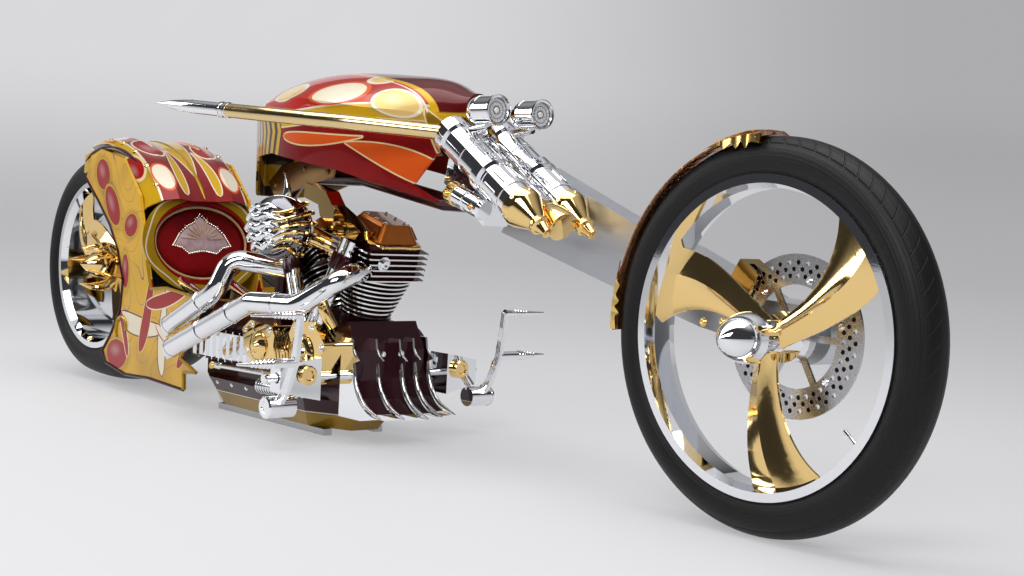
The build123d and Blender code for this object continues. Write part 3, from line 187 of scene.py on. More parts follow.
def ellipse(u, v, cu, cv, ru, rv, lean=0.0):
    """Distance from an ellipse's edge as a share of its size: below 0 inside."""
    c, s = cos(lean), sin(lean)
    du, dv = u - cu, v - cv
    return reach(du * (c / ru) + dv * (s / ru), du * (-s / rv) + dv * (c / rv)) - 1.0


def shade(colour, by):
    """A colour, darkened."""
    return tuple(c * by for c in colour)


class Paint:
    """A material and its node graph. Its coordinates are the row frame's, in metres."""

    def __init__(self, name):
        self.material = bpy.data.materials.new(name)
        self.material.use_nodes = True
        self.tree = self.material.node_tree
        self.shader = self.tree.nodes["Principled BSDF"]
        self.coords = add(self.tree, "TexCoord", {}).outputs["Object"]
        split = add(self.tree, "SeparateXYZ", {0: self.coords})
        self.x, self.y, self.z = (Value(self.tree, axis) for axis in split.outputs)

    def texture(self, kind, output, stretch, inputs, **settings):
        """A texture in the row frame, stretched along an axis if asked."""
        place = add(self.tree, "Mapping", {0: self.coords, "Scale": stretch})
        node = add(self.tree, kind, {"Vector": place.outputs[0], **inputs}, **settings)
        return Value(self.tree, node.outputs[output])

    def noise(self, scale, detail=2.0, stretch=(1, 1, 1)):
        return self.texture("TexNoise", 0, stretch, {"Scale": scale, "Detail": detail})

    def cells(self, scale, feature="F1"):
        return self.texture("TexVoronoi", "Distance", (1, 1, 1), {"Scale": scale}, feature=feature)

    def set(self, **values):
        """Set shader sockets by name, underscores for spaces."""
        for key, value in values.items():
            put(self.tree, value, self.shader.inputs[key.replace("_", " ")])
        return self

    def mix(self, share, a, b):
        node = add(self.tree, "Mix", {}, data_type="RGBA")
        for number, value in ((0, share), (6, a), (7, b)):
            put(self.tree, value, node.inputs[number])
        return Value(self.tree, node.outputs[2])

    def base(self, share, a, b):
        """Mix the base colour of two."""
        self.tone = self.mix(share, a, b)
        return self.set(Base_Color=self.tone)

    def over(self, share, colour):
        """Lay a colour over the base colour, where share is 1."""
        return self.base(share, self.tone, colour)

    def bump(self, height, strength, distance):
        node = add(self.tree, "Bump", {"Strength": strength, "Distance": distance, "Height": height})
        return self.set(Normal=node.outputs[0])


def plated(name, colour, roughness, wear, scale):
    """Mirror plating: metal whose gloss varies a little with handling and polish marks."""
    paint = Paint(name)
    haze = paint.noise(scale, 4.0)
    paint.base(haze * 0.35, colour, shade(colour, 0.86))
    paint.set(Roughness=haze * wear + (roughness - wear * 0.4), Metallic=1.0)
    return paint.bump(paint.noise(scale * 9, 2.0, (1, 1, 3)), 0.02, 0.0004)


def brushed(name, colour, roughness, stretch):
    """Brushed metal, its grain along one axis."""
    paint = Paint(name)
    grain = paint.noise(260, 3.0, stretch)
    paint.base(grain, shade(colour, 0.82), colour)
    paint.set(Roughness=grain * 0.16 + roughness + paint.noise(14, 3.0) * 0.06, Metallic=1.0)
    return paint.bump(grain, 0.08, 0.0003)


def gloss_paint(name, colour, dark, flake=0.25):
    """Candy paint over metal flake, under clear coat."""
    paint = Paint(name)
    paint.base(paint.noise(7, 3.0), dark, colour)
    paint.over(paint.cells(1500).step(0.25, 0.0), tuple(min(1, c * 1.8 + 0.02) for c in colour))
    paint.set(Roughness=0.30, Metallic=flake, Specular_IOR_Level=0.15)
    return paint.set(Coat_Weight=0.9, Coat_Roughness=0.02, Coat_IOR=1.30)


def rubber(name, axle, radius, width, grooves):
    """Tyre rubber: rings on the wall, slanted grooves on the tread and a matte bloom."""
    paint = Paint(name)
    dx, dz, across = paint.x - axle[0], paint.z - axle[2], abs(paint.y)
    r = reach(dx, dz)
    slant = (across * (9.0 / width) + turn(dx, dz) * (grooves / 2)).wave()
    slot = abs(slant).step(0.10, 0.22).most(across.step(width * 0.10, width * 0.08))
    tread = slot * across.step(width * 0.045, width * 0.065) * r.step(radius - 0.016, radius - 0.012)
    wall = abs((r * 420.0).wave()).step(0.0, 0.5) * 0.12
    bloom = paint.noise(9, 4.0)
    paint.base(bloom, (0.0035, 0.0035, 0.004), (0.009, 0.009, 0.010))
    paint.set(Roughness=bloom * 0.15 + 0.42, Specular_IOR_Level=0.28)
    return paint.bump(paint.noise(900) * 0.08 + tread + wall, 0.7, 0.004)


def velvet():
    """Deep red velvet with a soft sheen, and painted shade darkening its upper part."""
    paint = Paint("red_velvet")
    paint.base(paint.noise(11, 4.0), (0.060, 0.001, 0.002), (0.36, 0.006, 0.008))
    # Painted shade: the pad darkens towards its top, where the seat's rim shades it.
    paint.over(paint.z.step(0.37, 0.50) * 0.75, (0.035, 0.0, 0.001))
    paint.set(Roughness=0.85, Specular_IOR_Level=0.1)
    paint.set(Sheen_Weight=0.35, Sheen_Roughness=0.3, Sheen_Tint=(1.0, 0.12, 0.10))
    return paint.bump(paint.noise(1800), 0.25, 0.0008)


def hammered():
    """Copper-brown hammered leaf under clear coat, as on the front fender."""
    paint = Paint("hammered_leaf")
    dents = paint.cells(95, "SMOOTH_F1")
    paint.base(paint.noise(22, 4.0), (0.20, 0.045, 0.010), (0.66, 0.26, 0.06))
    paint.over(dents.step(0.35, 0.05), (0.82, 0.42, 0.10))
    paint.set(Roughness=0.25, Metallic=0.75, Coat_Weight=0.8, Coat_Roughness=0.05)
    return paint.bump(dents, 0.5, 0.003)


def oval(paint, u, v, place, fill, line):
    """An outlined oval with a halo and a glint: place is its centre u, v, its radii and its turn."""
    cu, cv, ru, rv, lean = place
    distance = ellipse(u, v, *place)
    paint.over(distance.step(0.55, 0.0) * 0.40, shade(line, 0.30))
    glint = ellipse(u, v, cu - 0.15 * ru, cv + 0.25 * rv, ru * 0.55, rv * 0.45, lean)
    bright = tuple(min(1.0, c * 0.6 + 0.34) for c in fill)
    paint.over(distance.step(0.03, -0.03), paint.mix(glint.step(0.3, -1.0) * 0.55, fill, bright))
    paint.over(distance.band(OVAL_LINE / min(ru, rv) / 2), line)


def lick(paint, u, v, place, fill, line):
    """An outlined lick: root u and v, length, half width, turn, and how far it bends aside."""
    cu, cv, length, width, lean, bend = place
    c, s = cos(lean), sin(lean)
    du, dv = u - cu, v - cv
    along = du * (c / length) + dv * (s / length)
    aside = dv * c - du * s - along * along * bend
    share = along.least(1.0).most(0.0)
    taper = share.calc("SQRT") * (share * -1.0 + 1.0)
    beyond = (along - 1.0).most(along * -1.0).most(0.0) * length
    edge = abs(aside) - taper * (width * 2.6) + beyond
    paint.over(edge.step(LICK_LINE * 1.15, LICK_LINE * 0.85), line)
    paint.over(edge.step(0.0004, -0.0004), fill)


def artwork(paint, u, v, ovals, licks):
    """Draw tables of ovals and licks in a paint, at its coordinates u and v."""
    for draw, rows in ((oval, ovals), (lick, licks)):
        for *place, fill, line in rows:
            draw(paint, u, v, place, fill, line)
    return paint


# Ovals on each side of the tank: centre x, z, radius along, radius across, turn, fill, line
TANK_OVALS = [
    (0.045, 0.786, 0.072, 0.027, 0.02, IVORY, ORANGE),
    (0.205, 0.764, 0.060, 0.027, -0.28, PALE_GOLD, IVORY),
    (-0.130, 0.790, 0.052, 0.021, 0.06, PALE_GOLD, IVORY),
    (-0.262, 0.768, 0.042, 0.020, 0.42, IVORY, ORANGE),
    (0.110, 0.822, 0.036, 0.012, -0.05, PALE_GOLD, IVORY),
]
# Licks on each side of the tank: root x, z, length, half width, turn, bend, fill, line
TANK_LICKS = [
    (0.345, 0.620, 0.150, 0.024, 1.95, 0.020, OLIVE_GOLD, CREAM),
    (0.330, 0.590, 0.250, 0.030, 2.62, 0.045, ORANGE, CREAM),
    (-0.125, 0.690, 0.260, 0.013, -0.12, 0.030, ORANGE, CREAM),
]
# Ovals and licks on the flanks, in x and z
FLANK_OVALS = [
    (-1.085, 0.590, 0.048, 0.040, -0.80, CANDY_RED, GOLD_PAINT),
    (-1.020, 0.505, 0.066, 0.036, -0.90, CANDY_RED, GOLD_PAINT),
    (-0.905, 0.455, 0.040, 0.032, 0.30, CANDY_RED, GOLD_PAINT),
    (-0.965, 0.100, 0.062, 0.042, 0.05, CANDY_RED, GOLD_PAINT),
    (-0.930, 0.330, 0.022, 0.050, 0.10, CANDY_RED, GOLD_PAINT),
]
FLANK_LICKS = [
    (-0.960, 0.210, 0.300, 0.026, -0.30, 0.080, IVORY, MAROON),
    (-0.830, 0.120, 0.260, 0.022, 1.15, 0.050, CANDY_RED, PALE_GOLD),
    (-0.700, 0.070, 0.240, 0.020, 1.75, -0.060, IVORY, MAROON),
    (-0.620, 0.100, 0.190, 0.016, 0.85, 0.040, CANDY_RED, PALE_GOLD),
    (-0.800, 0.250, 0.300, 0.018, 0.10, 0.060, CANDY_RED, IVORY),
    (-0.900, 0.100, 0.200, 0.012, 1.80, 0.060, CANDY_RED, IVORY),
    (-0.740, 0.200, 0.170, 0.012, -0.60, 0.050, IVORY, CANDY_RED),
]
# Ovals and licks on the rear crown, in arc length from its front edge and distance from the middle
CROWN_OVALS = [
    (0.085, 0.100, 0.052, 0.028, 0.10, IVORY, ORANGE),
    (0.235, 0.085, 0.060, 0.034, 0.20, CANDY_RED, IVORY),
    (0.385, 0.105, 0.050, 0.030, -0.15, IVORY, ORANGE),
    (0.160, 0.150, 0.060, 0.018, 0.0, CANDY_RED, CREAM),
]
CROWN_LICKS = [
    (0.490, 0.030, 0.400, 0.020, 3.14, 0.030, GOLD_PAINT, IVORY),
    (0.490, 0.068, 0.250, 0.014, 3.20, -0.020, ORANGE, CREAM),
    (0.020, 0.050, 0.200, 0.012, 0.05, -0.020, GOLD_PAINT, IVORY),
    (0.300, 0.155, 0.190, 0.012, 0.0, -0.020, MAROON, PALE_GOLD),
]


def tank_paint():
    """Candy red with a dark crown stripe, ovals over a gold band, licks below and stripes behind."""
    paint = gloss_paint("tank_paint", CANDY_RED, DARK_RED)
    x, z = paint.x, paint.z
    edge = z - ((x * 9.0).wave() * 0.010 + 0.722)
    upper = paint.mix(paint.noise(6.0), (0.62, 0.020, 0.012), (0.40, 0.010, 0.010))
    paint.over(edge.step(0.028, 0.030), upper)
    paint.over((edge - 0.014).band(0.0155, 0.001), GOLD_PAINT)
    paint.over((edge - 0.031).band(0.0022, 0.0006), IVORY)
    paint.over((edge + 0.003).band(0.0020, 0.0006), CREAM)
    artwork(paint, x, z, TANK_OVALS, TANK_LICKS)
    crown = abs(paint.y) - ((x * 8.0).wave() * 0.014 + 0.062)
    high = z.step(0.742, 0.748)
    paint.over(crown.step(0.0005, -0.0005) * high, DARK_RED)
    paint.over(crown.band(0.0042, 0.0006) * high, GOLD_PAINT)
    paint.over((crown - 0.009).band(0.0012, 0.0005) * high, IVORY)
    lean = abs(z - 0.70) * 0.30 + x
    stripes = paint.mix((lean * 205.0).wave().step(-0.15, 0.0), (0.030, 0.016, 0.008), GOLD_PAINT)
    return paint.over(lean.step(-0.132, -0.134) * z.step(0.738, 0.736), stripes)


def flank_paint():
    """Golden candy with red ovals, red and ivory licks and thin violet scrolls."""
    paint = gloss_paint("flank_paint", SUN_GOLD, GOLD_PAINT, 0.2)
    paint.over(paint.z.step(0.340, 0.420) * 0.55, SUN_GOLD)
    paint.over(paint.noise(6.0, 1.0).step(0.50, 0.75) * 0.4, OLIVE_GOLD)
    scroll = (paint.noise(7.0, 0.0) * 26.0 + paint.z * 40.0).wave()
    paint.over(scroll.band(0.050, 0.03), VIOLET)
    return artwork(paint, paint.x, paint.z, FLANK_OVALS, FLANK_LICKS)


def crown_paint():
    """Candy red over the tyre with gold licks and ovals that follow its arc."""
    paint = gloss_paint("crown_paint", CANDY_RED, DARK_RED)
    arc = turn(paint.x - CROWN_AT.x, paint.z - CROWN_AT.z) * 0.400 - 0.251
    aside = abs(paint.y)
    paint.over(aside.step(0.128, 0.130), GOLD_PAINT)
    paint.over((aside - 0.128).band(0.0028, 0.0006), IVORY)
    return artwork(paint, arc, aside, CROWN_OVALS, CROWN_LICKS)


def dish_paint():
    """Golden candy rim round the seat, with a waved ivory line and a red inside edge."""
    paint = gloss_paint("dish_paint", GOLD_PAINT, OLIVE_GOLD, 0.45)
    rise = (paint.z - SEAT_AT.z) / SEAT_UP.z
    distance = ellipse(paint.y, rise, 0, 0, 0.182, 0.142)
    edge = (turn(paint.y, rise) * 7.0).wave() * 0.030 + distance
    paint.over((edge + 0.060).band(0.012, 0.004), IVORY)
    paint.over(distance.step(-0.188, -0.194), CANDY_RED)
    return paint.over((distance + 0.188).band(0.006, 0.002), MAROON)


def tray_paint():
    """The base tray: maroon above and a gold lower edge."""
    paint = gloss_paint("tray_paint", MAROON, DARK_MAROON)
    paint.over(paint.z.step(0.050, 0.048), paint.mix(paint.noise(9.0), GOLD_PAINT, OLIVE_GOLD))
    return paint.over((paint.z - 0.052).band(0.0016, 0.0006), IVORY)


def finned(name, colour, square):
    """Dark cast metal whose fins are polished bright at their edges."""
    paint = Paint(name)
    edges = []
    for lean in LEANS:
        c, s = cos(radians(lean)), sin(radians(lean))
        dx, dz = paint.x - CRANK.x, paint.z - CRANK.z
        across = dx * c - dz * s
        if square:
            edges.append((abs(across) - 0.082).most(abs(paint.y) - 0.089))
        else:
            edges.append(reach(across, paint.y) - ((dx * s + dz * c) * 0.30 + 0.0244))
    bright = abs(edges[0]).least(abs(edges[1])).step(0.0032, 0.0018)
    grain = paint.noise(240, 3.0)
    paint.base(grain, shade(colour, 0.6), colour).over(bright, (0.80, 0.78, 0.77))
    paint.set(Metallic=1.0, Roughness=bright * -0.22 + 0.38)
    return paint.bump(grain, 0.10, 0.0004)


def drilled_steel():
    """Brushed disc steel with dark spots of painted shade for drilled dimples between its open holes."""
    paint = Paint("drilled_steel")
    grain = paint.noise(260, 3.0, (1, 0.05, 1))
    dx, dz = paint.x - FRONT_AXLE.x, paint.z - FRONT_AXLE.z
    sector = 2 * pi / 20
    dimple_shades = []
    # Painted shade: a dark spot where each drilled dimple would lie in shadow, also pressed in by the
    # bump.
    for radius, phase in ((0.1071, 0.5), (0.1190, 0.25), (0.1190, 0.75), (0.1309, 0.0)):
        aside = (turn(dx, dz) * (1 / sector) - phase).calc("WRAP", 0.5, -0.5) * (sector * radius)
        dimple_shades.append(reach(aside, reach(dx, dz) - radius).step(0.0046, 0.0040))
    dimple_shade = reduce(Value.most, dimple_shades)
    paint.base(grain, (0.46, 0.45, 0.46), (0.66, 0.65, 0.66)).over(dimple_shade, (0.02, 0.02, 0.02))
    paint.set(Roughness=grain * 0.14 + 0.20, Metallic=1.0)
    return paint.bump(dimple_shade * -1.0, 0.6, 0.002)


def lamp_face():
    """A lamp's face: a painted reflection of a bright fluted bowl behind clear glass, with painted shade
    at its rim and bulb hole.
    """
    paint = Paint("lamp_face")
    dy, dz = abs(paint.y) - LAMP_AT.y, paint.z - LAMP_AT.z
    r = reach(dy, dz)
    flute = (turn(dy, dz) * 18.0).wave()
    # Painted reflection: the flutes turn lighter and darker round the lamp as a chrome reflector bowl
    # would show them.
    paint.base(flute * 0.3 + 0.5, (0.50, 0.53, 0.56), (0.90, 0.92, 0.94))
    # Painted shade darkens the bulb hole in the middle and the rim at the edge; a thin dark ring lies
    # between.
    paint.over(r.step(0.0105, 0.0085), (0.16, 0.17, 0.18))
    paint.over((r - 0.0175).band(0.0008, 0.0004), (0.12, 0.12, 0.13))
    paint.over(r.step(0.0235, 0.0255), (0.08, 0.08, 0.09))
    paint.set(Roughness=0.20, Metallic=0.30, Coat_Weight=1.0, Coat_Roughness=0.02)
    return paint.bump(flute * 0.12 + r * r * 900.0, 0.35, 0.006)


def bulb_glass():
    """A small milky bulb."""
    paint = Paint("bulb_glass")
    paint.base(paint.noise(300), (0.75, 0.74, 0.70), (0.95, 0.94, 0.90))
    return paint.set(Roughness=0.15)


def satin(name, colour, dark, scale):
    """Satin or metal thread with a fine rib."""
    paint = Paint(name)
    rib = (paint.z * scale).wave()
    paint.base(rib * 0.25 + paint.noise(60) * 0.7, dark, colour)
    paint.set(Roughness=0.42, Metallic=0.35, Sheen_Weight=0.5, Sheen_Roughness=0.4)
    return paint.bump(rib, 0.3, 0.0006)


def make_materials():
    """Every finish of the machine, by name."""
    paints = {
        "chrome": plated("chrome", CHROME, 0.04, 0.03, 14),
        "black_chrome": plated("black_chrome", (0.20, 0.20, 0.22), 0.05, 0.03, 20),
        "gold": plated("gold_plate", GOLD, 0.07, 0.05, 14),
        "brass": plated("pale_brass", (0.80, 0.61, 0.31), 0.15, 0.08, 10),
        "leaf_gold": plated("leaf_gold", (0.90, 0.62, 0.20), 0.16, 0.08, 90),
        "bead": plated("pearl_bead", (0.94, 0.88, 0.76), 0.18, 0.04, 200),
        "polished": brushed("polished_alloy", (0.66, 0.68, 0.72), 0.34, (0.04, 1, 1)),
        "steel": brushed("brushed_steel", STEEL, 0.24, (1, 0.05, 1)),
        "bronze": brushed("bronze_plate", (0.42, 0.24, 0.10), 0.26, (1, 0.1, 1)),
        "maroon": gloss_paint("maroon_gloss", MAROON, DARK_MAROON),
        "gold_paint": gloss_paint("gold_candy", GOLD_PAINT, OLIVE_GOLD, 0.55),
        "amber": gloss_paint("amber_candy", (0.70, 0.22, 0.03), (0.34, 0.08, 0.01), 0.75),
        "amber_deep": gloss_paint("amber_deep", (0.46, 0.12, 0.02), (0.22, 0.05, 0.01), 0.75),
        "tank": tank_paint(),
        "crown": crown_paint(),
        "flank": flank_paint(),
        "dish": dish_paint(),
        "tray": tray_paint(),
        "velvet": velvet(),
        "satin": satin("silver_satin", (0.74, 0.66, 0.66), (0.36, 0.16, 0.19), 2600.0),
        "thread": satin("gold_thread", (0.80, 0.66, 0.36), (0.45, 0.30, 0.10), 5200.0),
        "bulb": bulb_glass(),
        "lamp_face": lamp_face(),
        "disc": drilled_steel(),
        "leaf": hammered(),
        "belt": rubber("belt_rubber", (0, 0, 0), 1.0, 1.0, 300),
        "fins": finned("barrel_fins", (0.07, 0.03, 0.03), False),
        "head_fins": finned("head_fins", (0.10, 0.035, 0.035), True),
    }
    for name, grooves in (("front_tyre", 64), ("rear_tyre", 44)):
        low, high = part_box(name)
        size = high - low
        paints[name] = rubber(name + "_rubber", (low + high) / 2, size.x / 2, size.y, grooves)
    return {name: paint.material for name, paint in paints.items()}


# The CAD nodes of each finish
DRESS = {
    "chrome": "front_rim rear_rim front_hub seat_rails pushrods air_cleaner exhaust_pipes "
              "ribbed_cover chin_blades foot_controls fork_crown fork_legs bar_spears bar_clamp lamps",
    "gold": "front_blades rear_blades rear_hub cam_cover intake fork_caps front_caliper",
    "maroon": "frame_head crankcase gearbox primary_cover chin_panels",
    "steel": "rear_pulley skids drive_pulley rear_axle front_axle",
    "polished": "swingarm fork_beam",
    "front_tyre": "front_tyre", "rear_tyre": "rear_tyre", "disc": "front_disc",
    "tray": "frame_base", "tank": "fuel_tank", "crown": "rear_fender", "flank": "rear_flanks",
    "dish": "seat_dish", "velvet": "seat_pad", "fins": "barrels", "head_fins": "heads",
    "amber": "rocker_covers", "belt": "drive_belt", "brass": "handlebars",
    "lamp_face": "lamp_lenses", "leaf": "front_fender",
}


def dress_nodes():
    """Give each CAD node its finish."""
    for finish, names in DRESS.items():
        for name in names.split():
            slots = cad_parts[name].data.materials
            slots.clear()
            slots.append(FINISHES[finish])


def stage_material():
    """Floor and wall: a mottled tone, with painted shade deepening towards the camera's right and up the
    wall, partly self-lit where the camera or a reflection sees it.
    """
    paint = Paint("backdrop")
    paint.base(paint.noise(1.3, 3.0) * 0.5, FLOOR_COLOUR, shade(FLOOR_COLOUR, 0.95))
    aside = paint.x * 0.65 + paint.y * 0.76
    # Painted shade: the backdrop darkens towards the camera's right and with height, where the studio
    # light falls off.
    paint.over(aside.step(-1.7, 5.0) * (paint.z.step(0.02, 1.6) * 0.75 + 0.25), WALL_SHADE_COLOUR)
    paint.set(Roughness=0.55)
    path = add(paint.tree, "LightPath", {}).outputs
    seen = Value(paint.tree, path["Is Camera Ray"]).most(path["Is Glossy Ray"])
    seen = seen.most(path["Is Transmission Ray"]) * (paint.z.step(0.02, 2.1) * 0.38 + 0.50)
    glow = add(paint.tree, "Emission", {"Color": paint.tone})
    blend = add(paint.tree, "MixShader", {0: seen, 1: paint.shader.outputs[0], 2: glow.outputs[0]})
    put(paint.tree, blend.outputs[0], paint.tree.nodes["Material Output"].inputs["Surface"])
    return paint.material


def make_stage():
    """A pale floor that rises in a curve to a plain wall, far behind the machine."""
    size, back, radius, rise, steps = 18.0, 13.0, 3.0, 5.0, 16
    towards = at(cos(CAMERA_YAW), sin(CAMERA_YAW), 0)
    side = at(-towards.y, towards.x, 0)
    line = [(-size, 0.0), (back - radius, 0.0)]
    for i in range(1, steps + 1):
        a = pi / 2 * i / steps
        line.append((back - radius + radius * sin(a), radius - radius * cos(a)))
    line.append((back, radius + rise))
    mesh = bmesh.new()
    rows = [[mesh.verts.new(towards * along + side * s * size + UP * up) for s in (-1, 1)]
            for along, up in line]
    for low, high in zip(rows, rows[1:]):
        mesh.faces.new((low[0], low[1], high[1], high[0])).smooth = True
    data = bpy.data.meshes.new("backdrop")
    mesh.to_mesh(data)
    mesh.free()
    data.materials.append(stage_material())
    floor = bpy.data.objects.new("backdrop", data)
    bpy.context.scene.collection.objects.link(floor)


def make_lights():
    """Soft lamps: a large top light, a key from the camera's right and a low fill."""
    for name, place, target, width, height, power in (
            ("top", (0.4, -0.6, 3.4), (0, 0, 0.3), 4.5, 2.4, 95),
            ("key", (2.6, -3.4, 2.7), (0.2, 0, 0.4), 2.2, 1.4, 85),
            ("fill", (-3.2, -2.4, 2.0), (-0.8, 0, 0.4), 1.6, 1.6, 36)):
        data = bpy.data.lights.new(name, "AREA")
        data.shape = "RECTANGLE"
        data.size, data.size_y = width, height
        data.energy = power
        lamp = bpy.data.objects.new(name, data)
        lamp.location = place
        lamp.rotation_mode = "QUATERNION"
        lamp.rotation_quaternion = (at(*target) - at(*place)).to_track_quat("-Z", "Y")
        bpy.context.scene.collection.objects.link(lamp)


def make_world():
    """A banded studio, dark on the machine's right side. The camera and glass see it pale."""
    world = bpy.data.worlds.new("studio")
    bpy.context.scene.world = world
    world.use_nodes = True
    tree = world.node_tree
    coords = add(tree, "TexCoord", {}).outputs["Generated"]
    ramp = add(tree, "ValToRGB", {0: add(tree, "SeparateXYZ", {0: coords}).outputs[2]})
    stops = ramp.color_ramp.elements
    stops[0].position, stops[0].color = 0.0, (0.66, 0.66, 0.68, 1)
    stops[1].position, stops[1].color = 0.85, (0.72, 0.72, 0.74, 1)
    for position, tone in ((0.16, 0.50), (0.24, 0.035), (0.46, 0.030), (0.60, 0.20)):
        stops.new(position).color = (tone, tone, tone * 1.03, 1)
    aim = add(tree, "VectorMath", {0: coords, 1: (0.35, -0.92, -0.15)}, operation="DOT_PRODUCT")
    dark = Value(tree, aim.outputs["Value"]).step(-0.05, 0.35)
    blend = add(tree, "Mix", {}, data_type="RGBA")
    for number, value in ((0, dark), (6, ramp.outputs[0]), (7, DARK_SIDE)):
        put(tree, value, blend.inputs[number])
    studio = tree.nodes["Background"]
    put(tree, blend.outputs[2], studio.inputs[0])
    put(tree, 0.9, studio.inputs[1])
    sky = add(tree, "Background", {0: SKY_COLOUR})
    path = add(tree, "LightPath", {}).outputs
    seen = Value(tree, path["Is Camera Ray"]).most(path["Is Transmission Ray"])
    pick = add(tree, "MixShader", {0: seen, 1: studio.outputs[0], 2: sky.outputs[0]})
    put(tree, pick.outputs[0], tree.nodes["World Output"].inputs["Surface"])


def make_camera():
    """The camera at the photograph's viewpoint."""
    data = bpy.data.cameras.new("camera")
    data.lens = CAMERA_LENS
    data.clip_start, data.clip_end = 0.05, 100
    camera = bpy.data.objects.new("camera", data)
    cy, sy = cos(CAMERA_YAW), sin(CAMERA_YAW)
    forward = at(cos(CAMERA_PITCH) * cy, cos(CAMERA_PITCH) * sy, sin(CAMERA_PITCH))
    level = at(sy, -cy, 0)
    upright = level.cross(forward)
    right = level * cos(CAMERA_ROLL) + upright * sin(CAMERA_ROLL)
    up = upright * cos(CAMERA_ROLL) - level * sin(CAMERA_ROLL)
    facing = Matrix((right, up, -forward)).transposed()
    camera.matrix_world = Matrix.Translation(CAMERA_AT) @ facing.to_4x4()
    bpy.context.scene.collection.objects.link(camera)
    bpy.context.scene.camera = camera


class Piece:
    """A mesh piece of skinned, turned, swept and flat shapes. Places are in metres, sizes in mm."""

    open = []

    def __init__(self, name, body, slot, finish=None, crease=35):
        self.name, self.body, self.slot = name, body, slot
        self.finish, self.crease = finish or slot, crease
        self.mesh = bmesh.new()
        Piece.open.append(self)

    def skin(self, rows, caps=True):
        """Join closed rows of points with quads."""
        made = [[self.mesh.verts.new(point) for point in row] for row in rows]
        for low, high in zip(made, made[1:]):
            for i in range(len(low)):
                j = (i + 1) % len(low)
                self.mesh.faces.new((low[i], low[j], high[j], high[i]))
        if caps:
            self.mesh.faces.new(list(reversed(made[0])))
            self.mesh.faces.new(made[-1])

    def turned(self, origin, direction, profile, sides=32, ring=False):
        """Turn (distance, radius) pairs in mm about an axis, closed to a ring if asked."""
        axis = direction.normalized()
        side = axis.orthogonal().normalized()
        other = axis.cross(side)
        rows = []
        for along, radius in profile:
            r = max(radius * MM, TIP)
            rows.append([origin + axis * (along * MM) + side * (r * cos(a)) + other * (r * sin(a))
                         for a in turns(sides)])
        self.skin(rows + rows[:1] if ring else rows, caps=not ring)

    def tube(self, points, radii, sides=12, steps=6, flat=1.0, lean=None):
        """Sweep a round or flattened section, its radii in mm, along a smooth line."""
        line = smooth_line(points, steps)
        radii = radii if isinstance(radii, list) else [radii] * len(points)
        sizes = smooth_line([r * MM for r in radii], steps)
        side = lean or (line[1] - line[0]).orthogonal()
        rows = []
        for i, point in enumerate(line):
            way = (line[min(i + 1, len(line) - 1)] - line[max(i - 1, 0)]).normalized()
            side = (side - way * side.dot(way)).normalized()
            other = way.cross(side) * flat
            r = max(sizes[i], TIP)
            rows.append([point + side * (r * cos(a)) + other * (r * sin(a)) for a in turns(sides)])
        self.skin(rows)

    def plate(self, points, offset, bevel):
        """A flat plate: a polygon of points, its thickness as an offset, and its bevel in mm."""
        low = [self.mesh.verts.new(p) for p in points]
        high = [self.mesh.verts.new(p + offset) for p in points]
        faces = [self.mesh.faces.new(low), self.mesh.faces.new(list(reversed(high)))]
        for i in range(len(low)):
            j = (i + 1) % len(low)
            faces.append(self.mesh.faces.new((low[i], high[i], high[j], low[j])))
        edges = {edge for face in faces for edge in face.edges}
        bmesh.ops.bevel(self.mesh, geom=list(edges), offset=bevel * MM, segments=2, affect="EDGES",
                        profile=0.6)

    def bolt(self, spot, direction, radius, sides=12):
        """A socket-head bolt of a radius in mm: chamfered head with a sunk socket."""
        h = radius * 0.9
        self.turned(spot, direction, [(0, radius * 1.5), (h * 0.2, radius * 1.5), (h * 0.2, radius),
                                      (h * 0.85, radius), (h, radius * 0.85), (h, radius * 0.5),
                                      (h * 0.5, radius * 0.48), (h * 0.5, 0)], sides)

    def bolts(self, spots, y, way, radius):
        """Bolts at (x, z) spots in mm, on a face at a distance y to the left, in metres."""
        for spot in side_view(spots, y):
            self.bolt(spot, LEFT * way, radius)

    def done(self):
        """Make the object, ride it on its body and give it its finish."""
        Piece.open.remove(self)
        bmesh.ops.remove_doubles(self.mesh, verts=self.mesh.verts, dist=0.000001)
        bmesh.ops.recalc_face_normals(self.mesh, faces=self.mesh.faces)
        data = bpy.data.meshes.new(self.name)
        self.mesh.to_mesh(data)
        self.mesh.free()
        for face in data.polygons:
            face.use_smooth = True
        data.set_sharp_from_angle(angle=radians(self.crease))
        piece = bpy.data.objects.new(self.name, data)
        bpy.context.scene.collection.objects.link(piece)
        data.materials.append(FINISHES[self.finish])
        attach(piece, self.body)
        return piece


# Radius where a turned or swept shape comes to a point, in metres
TIP = 0.00002


def turns(count):
    """Angles of points evenly round a circle."""
    return [2 * pi * k / count for k in range(count)]


def smooth_line(points, steps):
    """Points, or numbers, on a Catmull-Rom line through the given ones."""
    line = []
    last = len(points) - 1
    for i in range(last):
        a, b, c, d = points[max(i - 1, 0)], points[i], points[i + 1], points[min(i + 2, last)]
        for k in range(steps):
            t = k / steps
            line.append(0.5 * (2 * b + (c - a) * t + (2 * a - 5 * b + 4 * c - d) * t * t
                               + (3 * b - a - 3 * c + d) * t ** 3))
    line.append(points[-1])
    return line


def side_view(points, y):
    """Points given as (x, z) in mm, at a distance y to the left, in metres."""
    return [at(x * MM, y, z * MM) for x, z in points]


def spoke(degrees):
    """The direction some degrees up from forward, in side view."""
    return at(cos(radians(degrees)), 0, sin(radians(degrees)))


def circle(centre, radius, count, start):
    """Points round a wheel or hub, with their outward directions, from an angle in radians."""
    outs = [at(cos(start + a), 0, sin(start + a)) for a in turns(count)]
    return [(centre + out * radius, out) for out in outs]


def steer(along, up=0.0, y=0.0):
    """A point given along the steering axis, square to it, and to the left."""
    return STEER_AT + STEER_WAY * along + STEER_UP * up + LEFT * y


